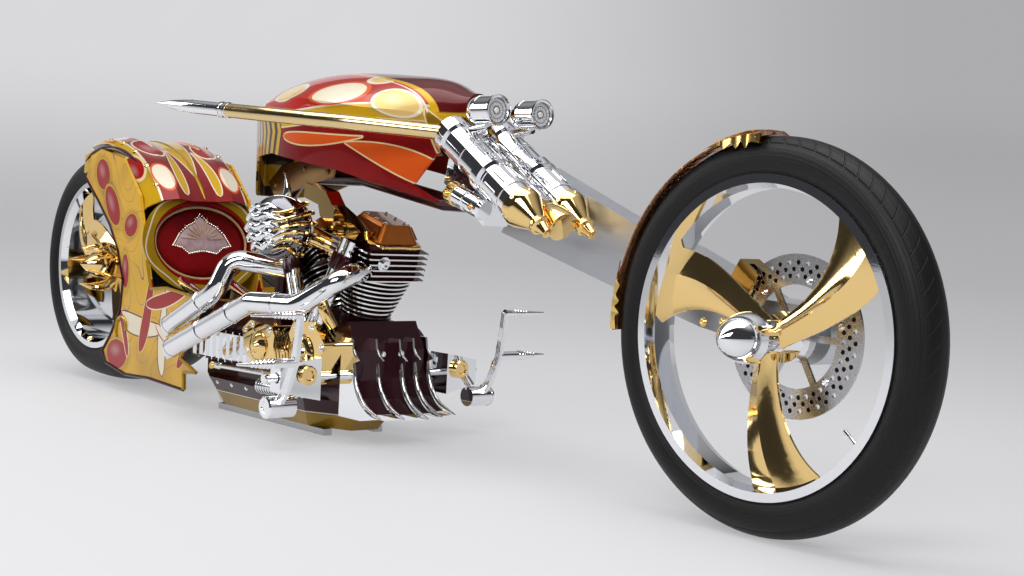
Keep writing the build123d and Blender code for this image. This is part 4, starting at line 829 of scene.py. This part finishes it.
def cylinder_axes(lean):
    """Directions along a leaning cylinder and forward across it."""
    a = radians(lean)
    return at(sin(a), 0, cos(a)), at(cos(a), 0, -sin(a))


def on_cylinder(lean, along, across, y):
    """A point on a cylinder: along its axis from the crank, forward across it, and to the left."""
    way, forward = cylinder_axes(lean)
    return CRANK + way * along + forward * across + LEFT * y


def rocker_trim():
    """Gold rim, screws and a raised panel on each rocker cover."""
    rims = Piece("rocker_rims", "chassis", "gold")
    screws = Piece("rocker_screws", "chassis", "chrome")
    panels = Piece("rocker_panels", "chassis", "amber", "amber_deep")
    loop = [(-0.071, -0.058), (0.0, -0.0625), (0.071, -0.058), (0.0755, 0.0), (0.071, 0.058),
            (0.0, 0.0625), (-0.071, 0.058), (-0.0755, 0.0), (-0.071, -0.058), (0.0, -0.0625)]
    panel = [(0.312, -0.055, 0.0585), (0.312, 0.055, 0.0585), (0.339, 0.044, 0.0432),
             (0.339, -0.044, 0.0432)]
    for lean in LEANS:
        way = cylinder_axes(lean)[0]
        rims.tube([on_cylinder(lean, 0.301, across, y) for across, y in loop], 5.5, 10, 5, 0.8)
        for across in (-0.038, 0.0, 0.038):
            for y in (-0.027, 0.027):
                screws.bolt(on_cylinder(lean, 0.346, across, y), way, 4.5)
        for side in (-1, 1):
            panels.plate([on_cylinder(lean, along, across, side * y) for along, across, y in panel],
                         LEFT * (side * 0.002) + way * 0.001, 0.6)


def pushrod_trim():
    """Collars at both ends of each pushrod tube."""
    nuts = Piece("pushrod_nuts", "chassis", "chrome")
    collars = Piece("pushrod_collars", "chassis", "maroon")
    for lean in LEANS:
        side = 1 if lean > 0 else -1
        for step in (0, 1):
            low = CRANK + at(side * 0.027 * (step + 0.5), -0.138, 0.082)
            high = on_cylinder(lean, 0.296, side * 0.027 * step, -0.099)
            way = (high - low).normalized()
            start = low + way * ((0.292 - low.z) / way.z)
            nuts.turned(start, way, [(0, 13), (0, 16.5), (16, 16.5), (19, 14), (30, 14), (32, 12.5),
                                     (32, 12)], 16)
            collars.turned(high - way * 0.075, way, [(0, 12.5), (0, 15), (4, 16.5), (34, 16.5),
                                                     (40, 14.5), (40, 12)], 16)


# Fingers and ribs over the air cleaner: (left, up) points across its face, in mm
AIR_FINGERS = [
    [(66, 36), (50, 47), (30, 43), (12, 50), (-6, 44)],
    [(75, 16), (56, 26), (36, 21), (14, 28), (-10, 20)],
    [(78, -6), (58, 3), (36, -1), (14, 6), (-6, 0)],
    [(73, -28), (54, -20), (34, -24), (14, -16), (-4, -20)],
    [(58, -48), (42, -40), (24, -45), (8, -36), (-8, -40)],
]
AIR_RIBS = [
    [(-52, 55), (-40, 42), (-16, 34), (4, 36)],
    [(-68, 36), (-52, 28), (-24, 18), (2, 12)],
    [(-76, 12), (-56, 11), (-28, 3), (0, -6)],
    [(-75, -14), (-55, -8), (-28, -12), (-2, -24)],
    [(-66, -38), (-48, -26), (-26, -28), (-2, -40)],
    [(-46, -60), (-34, -44), (-18, -44), (4, -52)],
]


def air_cleaner_trim():
    """A dark dome under crooked chrome fingers and gold ribs, and the spike above it."""
    way = at(sin(AIR_TURN), -cos(AIR_TURN), 0)
    across = way.cross(UP).normalized()
    back = AIR_AT - way * 0.046

    def on_face(place, lift):
        """A point on the dome, or down its side where it is past the rim."""
        share = min(1.0, place.length / 0.0762)
        out = 0.028 + 0.054 * (1 - share ** 2) ** 0.62 + lift
        return back + across * place.x + UP * place.y + way * out

    dome = Piece("air_dome", "chassis", "chrome", "black_chrome")
    dome.turned(back, way, [(26, 74.2), (32, 75.8), (46, 69), (60, 54.5), (71, 37), (78, 18), (81, 0)], 48)
    fingers = Piece("air_fingers", "chassis", "chrome")
    ribs = Piece("air_ribs", "chassis", "gold")
    for piece, lines, rim, root, lift, crook, radii, sides in (
            (fingers, AIR_FINGERS, 0.0795, 0.004, 0.004, 0.002, [8.5, 9.5, 7.5, 9.2, 6.8, 1.8], 12),
            (ribs, AIR_RIBS, 0.0785, 0.006, 0.003, 0.0, [5.0, 5.8, 5.2, 4.2, 1.4], 10)):
        for line in lines:
            places = [Vector(place) * MM for place in line]
            wrist = places[0].normalized() * rim
            points = [back + across * wrist.x + UP * wrist.y + way * root]
            points += [on_face(place, lift + crook * (k % 2)) for k, place in enumerate(places)]
            piece.tube(points, radii, sides)
    spike = [at(0, 0, 0.066), at(0.004, 0, 0.092), at(-0.002, -0.004, 0.125)]
    fingers.tube([back + place for place in spike], [11, 8, 1])


def leg(along, side):
    """A point on a fork leg's axis."""
    return steer(along, LEG_UP, side * LEG_OUT)


def round_leg(degrees):
    """A direction square to the steering axis."""
    return LEFT * cos(radians(degrees)) + STEER_UP * sin(radians(degrees))


def fork_trim():
    """Gold cups under the legs, rings round them, and their screws."""
    gold, chrome = Piece("fork_cups", "fork", "gold"), Piece("fork_rings", "fork", "chrome")
    for side in (-1, 1):
        foot = leg(0.245, side)
        gold.turned(foot, STEER_WAY, [(-4, 39.5), (-4, 42.5), (14, 43.2), (20, 40.5), (46, 27.5),
                                      (62, 19), (66, 20.5), (74, 20.5), (78, 15), (92, 11),
                                      (100, 10.5), (102, 7), (102, 0)], 40)
        for k in range(6):
            out = round_leg(60 * k + 30)
            chrome.bolt(foot + out * 0.0415 + STEER_WAY * 0.006, out, 4.2)
        for along, radius, width in ((-0.020, 41.2, 12), (0.062, 40.8, 6), (0.150, 40.8, 6),
                                     (0.205, 41.5, 14)):
            chrome.turned(leg(along, side), STEER_WAY,
                          [(0, 39), (1, radius), (width - 1, radius), (width, 39)], 40)
        chrome.turned(leg(-0.036, side), -STEER_WAY, [(0, 38), (1.2, 36), (2.6, 25), (3, 14),
                                                      (1.6, 12), (1.6, 0)], 40)
        for k in range(8):
            start = leg(0.165, side) + round_leg(45 * k) * 0.0392
            chrome.tube([start, start + STEER_WAY * 0.036], 2.2, 8, 2)
    gold.turned(steer(0.263, LEG_UP), STEER_WAY, [(-2, 20), (4, 24), (30, 30), (50, 33), (55, 33),
                                                  (58, 28), (58, 0)], 32)


def lamp_trim():
    """Bezel rings of both lamps, and the bulb caps behind their glass."""
    rings, bulbs = Piece("lamp_rings", "fork", "chrome"), Piece("lamp_bulbs", "fork", "glass", "bulb")
    for side in (-1, 1):
        face = at(LAMP_AT.x, side * LAMP_AT.y, LAMP_AT.z)
        rings.turned(face, FORWARD, [(-4, 31), (-3, 32.5), (2, 32.5), (3.5, 30), (2, 26.8),
                                     (-4, 26.2)], 48, True)
        rings.turned(face, FORWARD, [(-52, 30.9), (-51, 31.8), (-47, 31.8), (-46, 30.9)], 48)
        bulbs.turned(face, FORWARD, [(-5.2, 6.5), (-4, 6.3), (-2.2, 4.5), (-1.4, 0)], 24)


def feather_trim():
    """Gold leaf feathers laid over both ends of the front fender."""
    gold = Piece("fender_feathers", "fork", "gold", "leaf_gold")
    for start, end in ((112, 96), (163, 181)):
        for row, y in enumerate((-0.034, -0.023, -0.012, 0.0, 0.012, 0.023, 0.034)):
            r = 0.3588 - 0.0100 * max(0.0, (abs(y) - 0.021) / 0.021)
            line = []
            for share in (0.0, 0.25, 0.6, 0.85, 1.0):
                further = 0.12 * (row % 2) * (share > 0.5)
                out = spoke(start + (end - start) * (share + further)) * r
                line.append(FRONT_AXLE + out + LEFT * (y * (1 - 0.25 * share)))
            gold.tube(line, [3.2, 6.2, 7.2, 4.8, 0.6], 8, 4, 0.32, LEFT)


def wheel_trim():
    """Valve stem, disc screws, hub rings and the rear wheel's spikes."""
    screws = Piece("front_screws", "front_wheel", "chrome")
    stem = Piece("valve_stem", "front_wheel", "chrome")
    spikes = Piece("rear_spikes", "rear_wheel", "gold")
    for spot, _ in circle(FRONT_AXLE + LEFT * 0.0695, 0.103, 6, 0.26):
        screws.bolt(spot, LEFT, 5)
        screws.bolt(spot - LEFT * 0.005, -LEFT, 5)
    for y in (-0.0505, -0.044):
        screws.turned(FRONT_AXLE + LEFT * y, -LEFT, [(0, 30), (0, 33.5), (3, 33.5), (3, 30)], 40)
    for spot, _ in circle(FRONT_AXLE - LEFT * 0.0535, 0.0385, 5, 0.5):
        screws.bolt(spot, -LEFT, 3.5)
    out = spoke(-38)
    stem.turned(FRONT_AXLE + out * 0.258 - LEFT * 0.012, -out,
                [(0, 5.5), (6, 5), (10, 3.5), (22, 3.2), (22, 4.2), (34, 4), (36, 2.5), (36, 0)], 16)
    for spot, out in circle(REAR_AXLE - LEFT * 0.100, 0.062, 3, 0.9):
        line = [spot + LEFT * y + out * r
                for y, r in ((0.020, -0.030), (-0.012, 0), (-0.055, 0.004), (-0.092, -0.004))]
        spikes.tube(line, [14, 16, 10, 1], 14)


def cover_trim():
    """Screws and rings on the engine's side covers, and ribs on the gold ones."""
    screws = Piece("cover_screws", "chassis", "chrome")
    gold = Piece("gold_covers", "chassis", "gold")
    plugs = Piece("engine_plugs", "chassis", "chrome")
    screws.bolts([(-112, 130), (-132, 190), (-85, 250), (-22, 258), (22, 216), (-8, 136),
                  (-235, 146), (-300, 176), (-312, 226), (-280, 240), (-200, 235), (-178, 160)],
                 -COVER_FACE, -1, 5.5)
    screws.bolts([(-60, 258), (-130, 118), (-300, 228), (-420, 262), (-470, 190), (-360, 112)],
                 COVER_FACE, 1, 5.5)
    gold.turned(at(-0.058, -0.1565, 0.195), -LEFT, [(0, 46), (6, 44), (10, 38), (10, 30), (16, 26),
                                                    (24, 12), (26, 0)], 40)
    gold.turned(at(-0.245, -0.1565, 0.193), -LEFT, [(0, 36), (4, 35), (9, 29), (11, 16), (18, 10),
                                                    (19, 0)], 40)
    for k in range(5):
        x = -0.165 + 0.014 * k
        rib = [at(x, -0.154, 0.150), at(x - 0.003, -0.161, 0.195), at(x - 0.008, -0.154, 0.236)]
        gold.tube(rib, 3.5, 8, 5)
    elbow = [at(0.020, -0.125, 0.262), at(0.010, -0.145, 0.300), at(-0.006, -0.140, 0.330)]
    gold.tube(elbow, [12, 14, 10], 14, 5)
    front, rear = LEANS
    plugs.bolt(on_cylinder(front, 0.262, 0.080, -0.040), cylinder_axes(front)[1], 11, 20)
    for along in (0.150, 0.262):
        for y in (-0.050, 0.055):
            plugs.bolt(on_cylinder(rear, along, 0.045, y), cylinder_axes(rear)[1], 5)
    plugs.turned(at(-0.065, 0.1565, 0.180), LEFT, [(0, 58), (4, 56), (12, 46), (13, 30), (8, 26),
                                                   (8, 0)], 48)


def exhaust_trim():
    """Joint rings and the slash-cut mouths of both pipes."""
    mouths = Piece("pipe_mouths", "chassis", "maroon")
    rings = Piece("pipe_rings", "chassis", "chrome")
    port, bend, tip = at(0.026, -0.226, 0.312), at(-0.150, -0.240, 0.306), at(-0.520, -0.240, 0.164)
    rear_bend, rear_tip = at(-0.330, -0.230, 0.318), at(-0.552, -0.230, 0.217)
    for a, b, spots in ((port, bend, (0.45,)), (bend, tip, (0.22, 0.60)), (rear_bend, rear_tip, (0.30,))):
        for share in spots:
            rings.turned(a.lerp(b, share), b - a, [(-6, 23.8), (-5, 26.2), (5, 26.2), (6, 23.8)], 36)
    for start, end in ((bend, tip), (rear_bend, rear_tip)):
        way = (end - start).normalized()
        low = way.cross(-LEFT)
        walls = []
        for radius in (0.0246, 0.0222):
            rows = []
            for share in (0.0, 0.5, 1.0):
                slant = 0.026 if share else 0.0
                rows.append([end + (low * sin(a) - LEFT * cos(a)) * radius
                             + way * (-0.004 + (0.058 - slant * (1 + cos(a))) * share)
                             for a in turns(40)])
            walls.append(rows)
        outer, inner = walls
        rings.skin(outer + inner[::-1], caps=False)
        mouths.skin([[p + (end - p) * 0.02 for p in row] for row in inner[:2]])


# Rolled edges of each flank, in x and z, in mm
FLANK_EDGES = [
    [(-1193, 578), (-1111, 518), (-1030, 451), (-976, 384), (-940, 304), (-951, 221),
     (-1006, 148), (-1052, 101), (-1025, 70), (-908, 50), (-774, 55), (-582, 47)],
    [(-582, 47), (-585, 92), (-520, 98), (-604, 126), (-566, 176), (-500, 284), (-690, 300),
     (-777, 292), (-805, 366)],
]
# Each horn of the crown: degrees up from forward, distance from the middle, and radius
HORN = [(60, 0.136, 0.3800), (72, 0.146, 0.3760), (84, 0.155, 0.3690), (95, 0.163, 0.3560),
        (103, 0.169, 0.3360)]


def body_trim():
    """Rolled edges of the rear body, the horns of its crown and the studs on its shoulders."""
    dark = Piece("body_rear_edges", "chassis", "maroon")
    cream = Piece("body_edges", "chassis", "paint", "gold_paint")
    horns = Piece("crown_horns", "chassis", "paint", "maroon")
    studs = Piece("crown_studs", "chassis", "gold")
    for side in (-1, 1):
        for line, edge in zip(FLANK_EDGES, (dark, cream)):
            points = side_view(line, side * 0.1700)
            for first, last in zip(points, points[1:]):
                edge.tube([first, last], 4.2, 10, 2)
        curl = [at(-0.930, side * 0.1715, 0.175) + spoke(-40 + 26 * k) * (0.014 + 0.0030 * k)
                for k in range(11)]
        cream.tube(curl, [1] + [4.6] * 9 + [2], 10, 4)
        horn = [CROWN_AT + spoke(degrees) * r + LEFT * (side * y) for degrees, y, r in HORN]
        horns.tube(horn, [4, 10, 11.5, 7.5, 0.8], 14, 5, 0.7, LEFT)
        for share in (0.0, 0.25, 0.5, 0.75, 1.0):
            out = spoke(44 + 46 * share)
            studs.turned(CROWN_AT + out * 0.3917 + LEFT * (side * 0.1292),
                         out * 0.9 + LEFT * (side * 0.45),
                         [(-1, 7.5), (2, 7), (4, 4.5), (4.6, 0)], 20)
    seam = [CROWN_AT + spoke(37 + 68 * k / 14) * 0.3965 for k in range(15)]
    cream.tube(seam, [2] + [5] * 13 + [2], 10, 4, 0.5, LEFT)


def tank_trim():
    """The bronze bracket under the tank."""
    bracket = Piece("tank_bracket", "chassis", "gold", "bronze")
    for side in (-1, 1):
        y, thick = side * 0.052, side * 0.006
        outline = [(-395, 585), (-330, 632), (-200, 642), (-100, 630), (-112, 600), (-200, 588),
                   (-300, 560), (-360, 548)]
        bracket.plate(side_view(outline, y), LEFT * thick, 1.5)
        bracket.bolts([(-360, 580), (-320, 612), (-232, 622), (-130, 615)], y + thick, side, 5.5)
    near, far = (side_view([(-385, 590), (-340, 622)], y) for y in (-0.052, 0.052))
    bracket.plate(near + far[::-1], at(0.004, 0, -0.005), 1)


def lever_trim():
    """Ribs, discs and caps on the foot controls, and knurls on their pegs."""
    chrome, gold = Piece("lever_ribs", "chassis", "chrome"), Piece("lever_discs", "chassis", "gold")
    places = [(0.050 + 0.083 * a, 0.092 + 0.208 * b, 0.010 * c) for a, b, c in
              ((0.0, 0.0, 1.2), (0.45, 0.20, 1.1), (0.82, 0.50, 0.90), (0.93, 0.78, 0.75),
               (1.0, 1.0, 0.7))]
    for side in (-1, 1):
        y, out = side * 0.286, LEFT * side
        for k in (-1, 0, 1):
            for face in (0.0045, -0.0045):
                chrome.tube([at(x + w * 0.55 * k, y + side * face, z) for x, z, w in places], 2.8, 8, 5)
        chrome.turned(at(0.050, y + side * 0.0250, 0.092), out,
                      [(-2, 25), (3, 25), (6, 21.5), (6, 13), (3, 11), (3, 0)], 36)
        chrome.turned(at(0.012, y + side * 0.004, 0.150), out,
                      [(-2, 12.5), (6, 12.5), (9, 9.5), (9, 0)], 24)
        gold.turned(at(0.0655, side * 0.215, 0.160), FORWARD,
                    [(-12, 22), (0, 22), (3, 19), (3, 12), (0, 10), (0, 0)], 36)
        for k in range(5):
            chrome.bolt(at(0.0455, side * (0.185 + 0.016 * k), 0.112), FORWARD, 3, 10)
        for x, z, start, end, radius in ((0.133, 0.300, 0.306, 0.350, 9.3),
                                         (0.118, 0.196, 0.345, 0.392, 11.2)):
            for k in range(6):
                size = radius * (1 - 0.07 * k)
                chrome.turned(at(x, side * (start + (end - start) * k / 5), z), out,
                              [(-2.5, size * 0.9), (0, size * 1.12), (2.5, size * 0.9)], 20)


def damper_trim():
    """The slim chrome cylinder beside the steering head, with its gold fittings."""
    body, gold = Piece("damper_body", "fork", "chrome"), Piece("damper_rings", "fork", "gold")
    start, end = at(0.366, -0.076, 0.578), at(0.490, -0.076, 0.537)
    way = (end - start).normalized()
    body.turned(start, way, [(0, 0), (0, 20), (4, 23), (60, 23), (62, 20.5), (68, 20.5), (70, 23),
                             (112, 23), (118, 18), (118, 0)], 32)
    gold.turned(start, way, [(4, 22.5), (5, 25.5), (24, 25.5), (26, 22.5)], 32)
    gold.bolt(start + way * 0.014 - LEFT * 0.0255, -LEFT, 6.5)
    gold.bolt(start + way * 0.095 - LEFT * 0.0225, -LEFT, 4.5)


def fork_fittings():
    """The oval fitting between the legs, screws of the beam and caliper, and pins of the bar clamps."""
    chrome, gold = Piece("fork_screws", "fork", "chrome"), Piece("caliper_screws", "fork", "gold")
    chrome.turned(steer(-0.008, 0.074), STEER_UP, [(0, 0), (0, 22), (10, 26), (22, 22), (26, 12),
                                                   (26, 0)], 36)
    for y in (-0.0525, -0.1025):
        gold.bolt(at(1.1119, y, 0.3691), -LEFT, 5.5)
    for k in range(3):
        gold.bolt(FRONT_AXLE + spoke(136 + 12 * k) * 0.146 + LEFT * 0.088, LEFT, 5)
    for side in (-1, 1):
        for along in (0.010, 0.060):
            chrome.bolt(leg(along, side) + STEER_UP * 0.0385, STEER_UP, 4.2)


def spear_trim():
    """Rings where the chrome spears leave the gold bars."""
    rings = Piece("spear_rings", "fork", "chrome")
    for side in (-1, 1):
        grip, tip = at(0.006, side * 0.328, 0.727), at(-0.325, side * 0.403, 0.752)
        for share in (0.30, 0.36):
            rings.turned(grip.lerp(tip, share), tip - grip,
                         [(-3, 15.5), (-2, 17.8), (2, 17.8), (3, 15.5)], 32)


# Front edge and spur of a chin blade, as shares of its depth and height
CHIN_EDGE = [(0.13, 0.69), (0.185, 0.52), (0.30, 0.335), (0.50, 0.20), (0.74, 0.125), (1.00, 0.076)]
CHIN_SPUR = [(0.10, 0.86), (0.17, 0.79), (0.30, 0.745)]


def chin_trim():
    """Bright rolled front edges and hooked tips of the chin's blades, and screws on its panels."""
    edges, screws = Piece("chin_edges", "chassis", "chrome"), Piece("chin_screws", "chassis", "chrome")
    for i in (-2, -1, 0, 1, 2):
        foot = at(0.060 + 0.018 * (2 - abs(i)), 0.052 * i, 0.060)
        for line, radii, steps in ((CHIN_EDGE, [3.6, 4.2, 4.4, 4.4, 3.6, 1.2], 6),
                                   (CHIN_SPUR, [3.6, 4, 1], 5)):
            edges.tube([foot + at(0.130 * a, 0, 0.180 * b) for a, b in line], radii, 12, steps)
    for y, x in ((-0.078, 0.062), (-0.026, 0.080), (0.026, 0.080), (0.078, 0.062)):
        screws.bolt(at(x, y, 0.204), FORWARD, 4)


# Outline of a gold flame on the tyre's shoulder: degrees in from the fender's end, drop from its edge
FLAME = [(0.0, 0.000), (0.2, 0.010), (-1.6, 0.017), (2.4, 0.014), (3.8, 0.024), (5.6, 0.011),
         (7.6, 0.021), (9.4, 0.010), (12.6, 0.016), (14.0, 0.007), (20.0, 0.000)]


def flame_trim():
    """Gold leaf flames along the front fender's edges, at both ends."""
    gold = Piece("fender_flames", "fork", "gold", "leaf_gold")
    for end, inward in ((181, -1), (93, 1)):
        for side in (-1, 1):
            rows = []
            for degrees, drop in smooth_line([Vector(place) for place in FLAME], 5):
                out = spoke(end + inward * degrees)
                inner = FRONT_AXLE + out * 0.3490 + LEFT * (side * 0.0435)
                outer = FRONT_AXLE + out * (0.3490 - drop) + LEFT * (side * (0.0450 + 0.10 * drop))
                thick = LEFT * (side * 0.0025)
                rows.append([inner, outer, outer + thick, inner + thick])
            gold.skin(rows)


def link_trim():
    """Shift and brake rods along the engine, finned cylinders, and screws on tray and gearbox."""
    chrome, gold = Piece("link_rods", "chassis", "chrome"), Piece("link_pins", "chassis", "gold")
    fins = [(0, 0), (0, 13)]
    for k in range(8):
        x = 4 + 11 * k
        fins += [(x, 13), (x, 18.5), (x + 5, 18.5), (x + 5, 13)]
    fins += [(96, 13), (104, 10), (112, 10), (112, 0)]
    for side, height in ((-1, 0.128), (1, 0.120)):
        a, b = at(-0.430, side * 0.170, height), at(-0.020, side * 0.185, height + 0.012)
        way, length = (b - a).normalized(), (b - a).length / MM
        chrome.turned(a, way, [(0, 0), (0, 5.2), (length, 5.2), (length, 0)], 16)
        for end, out in ((a, -way), (b, way)):
            chrome.turned(end, out, [(-30, 5.2), (-28, 8.5), (-10, 8.5), (-4, 6), (4, 6), (6, 0)], 16)
            eye = end + LEFT * (side * 0.006)
            gold.bolt(eye, LEFT * side, 6)
            chrome.turned(eye, LEFT * -side, [(0, 7.5), (16, 7.5), (20, 6), (60, 6)], 16)
        chrome.turned(at(-0.205, side * 0.172, 0.104), at(1, 0, 0.02), fins, 28)
        chrome.bolts([(-490 + 70 * k, 78) for k in range(6)], side * 0.1235, side, 4)
        gold.bolts([(-585, 262), (-500, 262), (-585, 105), (-275, 262), (-275, 105)],
                   side * 0.0925, side, 4.8)


def on_seat(across, up, lift):
    """A point in the seat's plane: to the left, up its slope, and out from it."""
    return SEAT_AT + LEFT * across + SEAT_UP * up + SEAT_OUT * lift


def padded_seat():
    """The velvet pad: a crowned cushion, swelled by a cloth run."""
    half_w, half_l, floor, rise = 0.1390, 0.0990, -0.0300, 0.0185
    rings = 14
    profile = [(k / rings, floor) for k in range(1, rings + 1)]
    for k in range(rings, 0, -1):
        share = k / rings
        crown = 0.52 * (1 - share ** 8) ** 0.5 + 0.48 * (1 - share * share)
        profile.append((share, floor + rise * crown))
    cushion = Piece("seat_cushion", "chassis", "velvet", crease=180)
    cushion.skin([[on_seat(half_w * share * cos(a), half_l * share * sin(a), lift) for a in turns(72)]
                  for share, lift in profile])
    pad = cushion.done()
    swell(pad, voxel=0.0050, pressure=4.0, cap=0.0042)
    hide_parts("seat_pad")
    return pad


def swell(piece, voxel, pressure, cap):
    """Puff a closed mesh by a short cloth run, no point further than the cap, then smooth it."""
    bpy.context.view_layer.objects.active = piece
    remesh = piece.modifiers.new("remesh", "REMESH")
    remesh.mode = "VOXEL"
    remesh.voxel_size = voxel
    bpy.ops.object.modifier_apply(modifier=remesh.name)
    cloth = piece.modifiers.new("cloth", "CLOTH")
    cloth.settings.use_pressure = True
    cloth.settings.uniform_pressure_force = pressure
    cloth.settings.effector_weights.gravity = 0
    cloth.point_cache.frame_start, cloth.point_cache.frame_end = 1, 20
    for number in range(1, 21):
        bpy.context.scene.frame_set(number)
    puffed = piece.evaluated_get(bpy.context.evaluated_depsgraph_get())
    ends = [v.co.copy() for v in puffed.data.vertices]
    piece.modifiers.remove(cloth)
    for vertex, end in zip(piece.data.vertices, ends):
        move = end - vertex.co
        if move.length > cap:
            move = move.normalized() * cap
        vertex.co = vertex.co + move
    bpy.context.scene.frame_set(1)
    smooth = piece.modifiers.new("smooth", "SUBSURF")
    smooth.levels = smooth.render_levels = 1
    bpy.ops.object.modifier_apply(modifier=smooth.name)


# Half outline of the seat's pointed patch, across and up the seat, in mm, and the patch's foot
FAN = [(0, 80), (20, 57), (44, 45), (68, 24), (88, -8), (62, -14), (42, -30), (0, -22)]
FAN_FOOT = 0.002
BEAD_GAP = 0.0062


def seat_trim():
    """Piping round the pad, the pointed fan patch, its ribs and its beaded edge."""
    pad = padded_seat().data
    tree = BVHTree.FromPolygons([v.co for v in pad.vertices], [p.vertices for p in pad.polygons])

    def rest(across, up, lift):
        """A point that rests on the pad's surface."""
        hit = tree.ray_cast(on_seat(across, up, 0.08), -SEAT_OUT)[0]
        return (hit if hit else on_seat(across, up, -0.012)) + SEAT_OUT * lift

    piping = Piece("seat_piping", "chassis", "gold", "thread")
    piping.tube([on_seat(0.1385 * cos(a), 0.0985 * sin(a), -0.0155) for a in turns(48) + [2 * pi]],
                3.5, 10, 3)
    corners = [Vector(place) * MM for place in FAN]
    half = [a.lerp(b, t) for a, b in zip(corners, corners[1:]) for t in (0.0, 0.25, 0.5, 0.75)]
    edge = half + [Vector((-p.x, p.y)) for p in reversed(half[1:])]
    patch = Piece("seat_patch", "chassis", "velvet", "satin", 60)
    patch.skin([[rest(p.x * share, FAN_FOOT + (p.y - FAN_FOOT) * share, 0.0012 if share < 1 else -0.0008)
                 for p in edge] for share in (1.0, 0.85, 0.65, 0.45, 0.25, 0.08)])
    beads = Piece("seat_beads", "chassis", "glass", "bead")
    for a, b in zip(edge, edge[1:] + edge[:1]):
        count = max(1, round((b - a).length / BEAD_GAP))
        for k in range(count):
            spot = a.lerp(b, k / count)
            beads.turned(rest(spot.x, spot.y, 0.0012), SEAT_OUT,
                         [(-1.8, 1.6), (-0.4, 2.7), (1, 2.5), (2.2, 1.3), (2.6, 0)], 8)
    ribs = Piece("seat_ribs", "chassis", "velvet", "thread")
    for k in range(11):
        a = radians(5 + 17 * k)
        tip = 0.050 if k % 2 else 0.066
        ribs.tube([rest(cos(a) * tip * t, FAN_FOOT + 0.006 + sin(a) * tip * t * 0.95, 0.0022)
                   for t in (0.25, 0.5, 0.75, 1.0)], [1, 2, 2.6, 1], 8, 3, 0.6, SEAT_OUT)


make_camera()
make_stage()
make_lights()
make_world()
FINISHES = make_materials()
dress_nodes()
for trim in (rocker_trim, pushrod_trim, air_cleaner_trim, fork_trim, lamp_trim, feather_trim,
             wheel_trim, cover_trim, exhaust_trim, body_trim, tank_trim, lever_trim, damper_trim,
             fork_fittings, spear_trim, chin_trim, flame_trim, link_trim, seat_trim):
    trim()
    while Piece.open:
        Piece.open[0].done()
bpy.context.scene.view_settings.view_transform = "Standard"
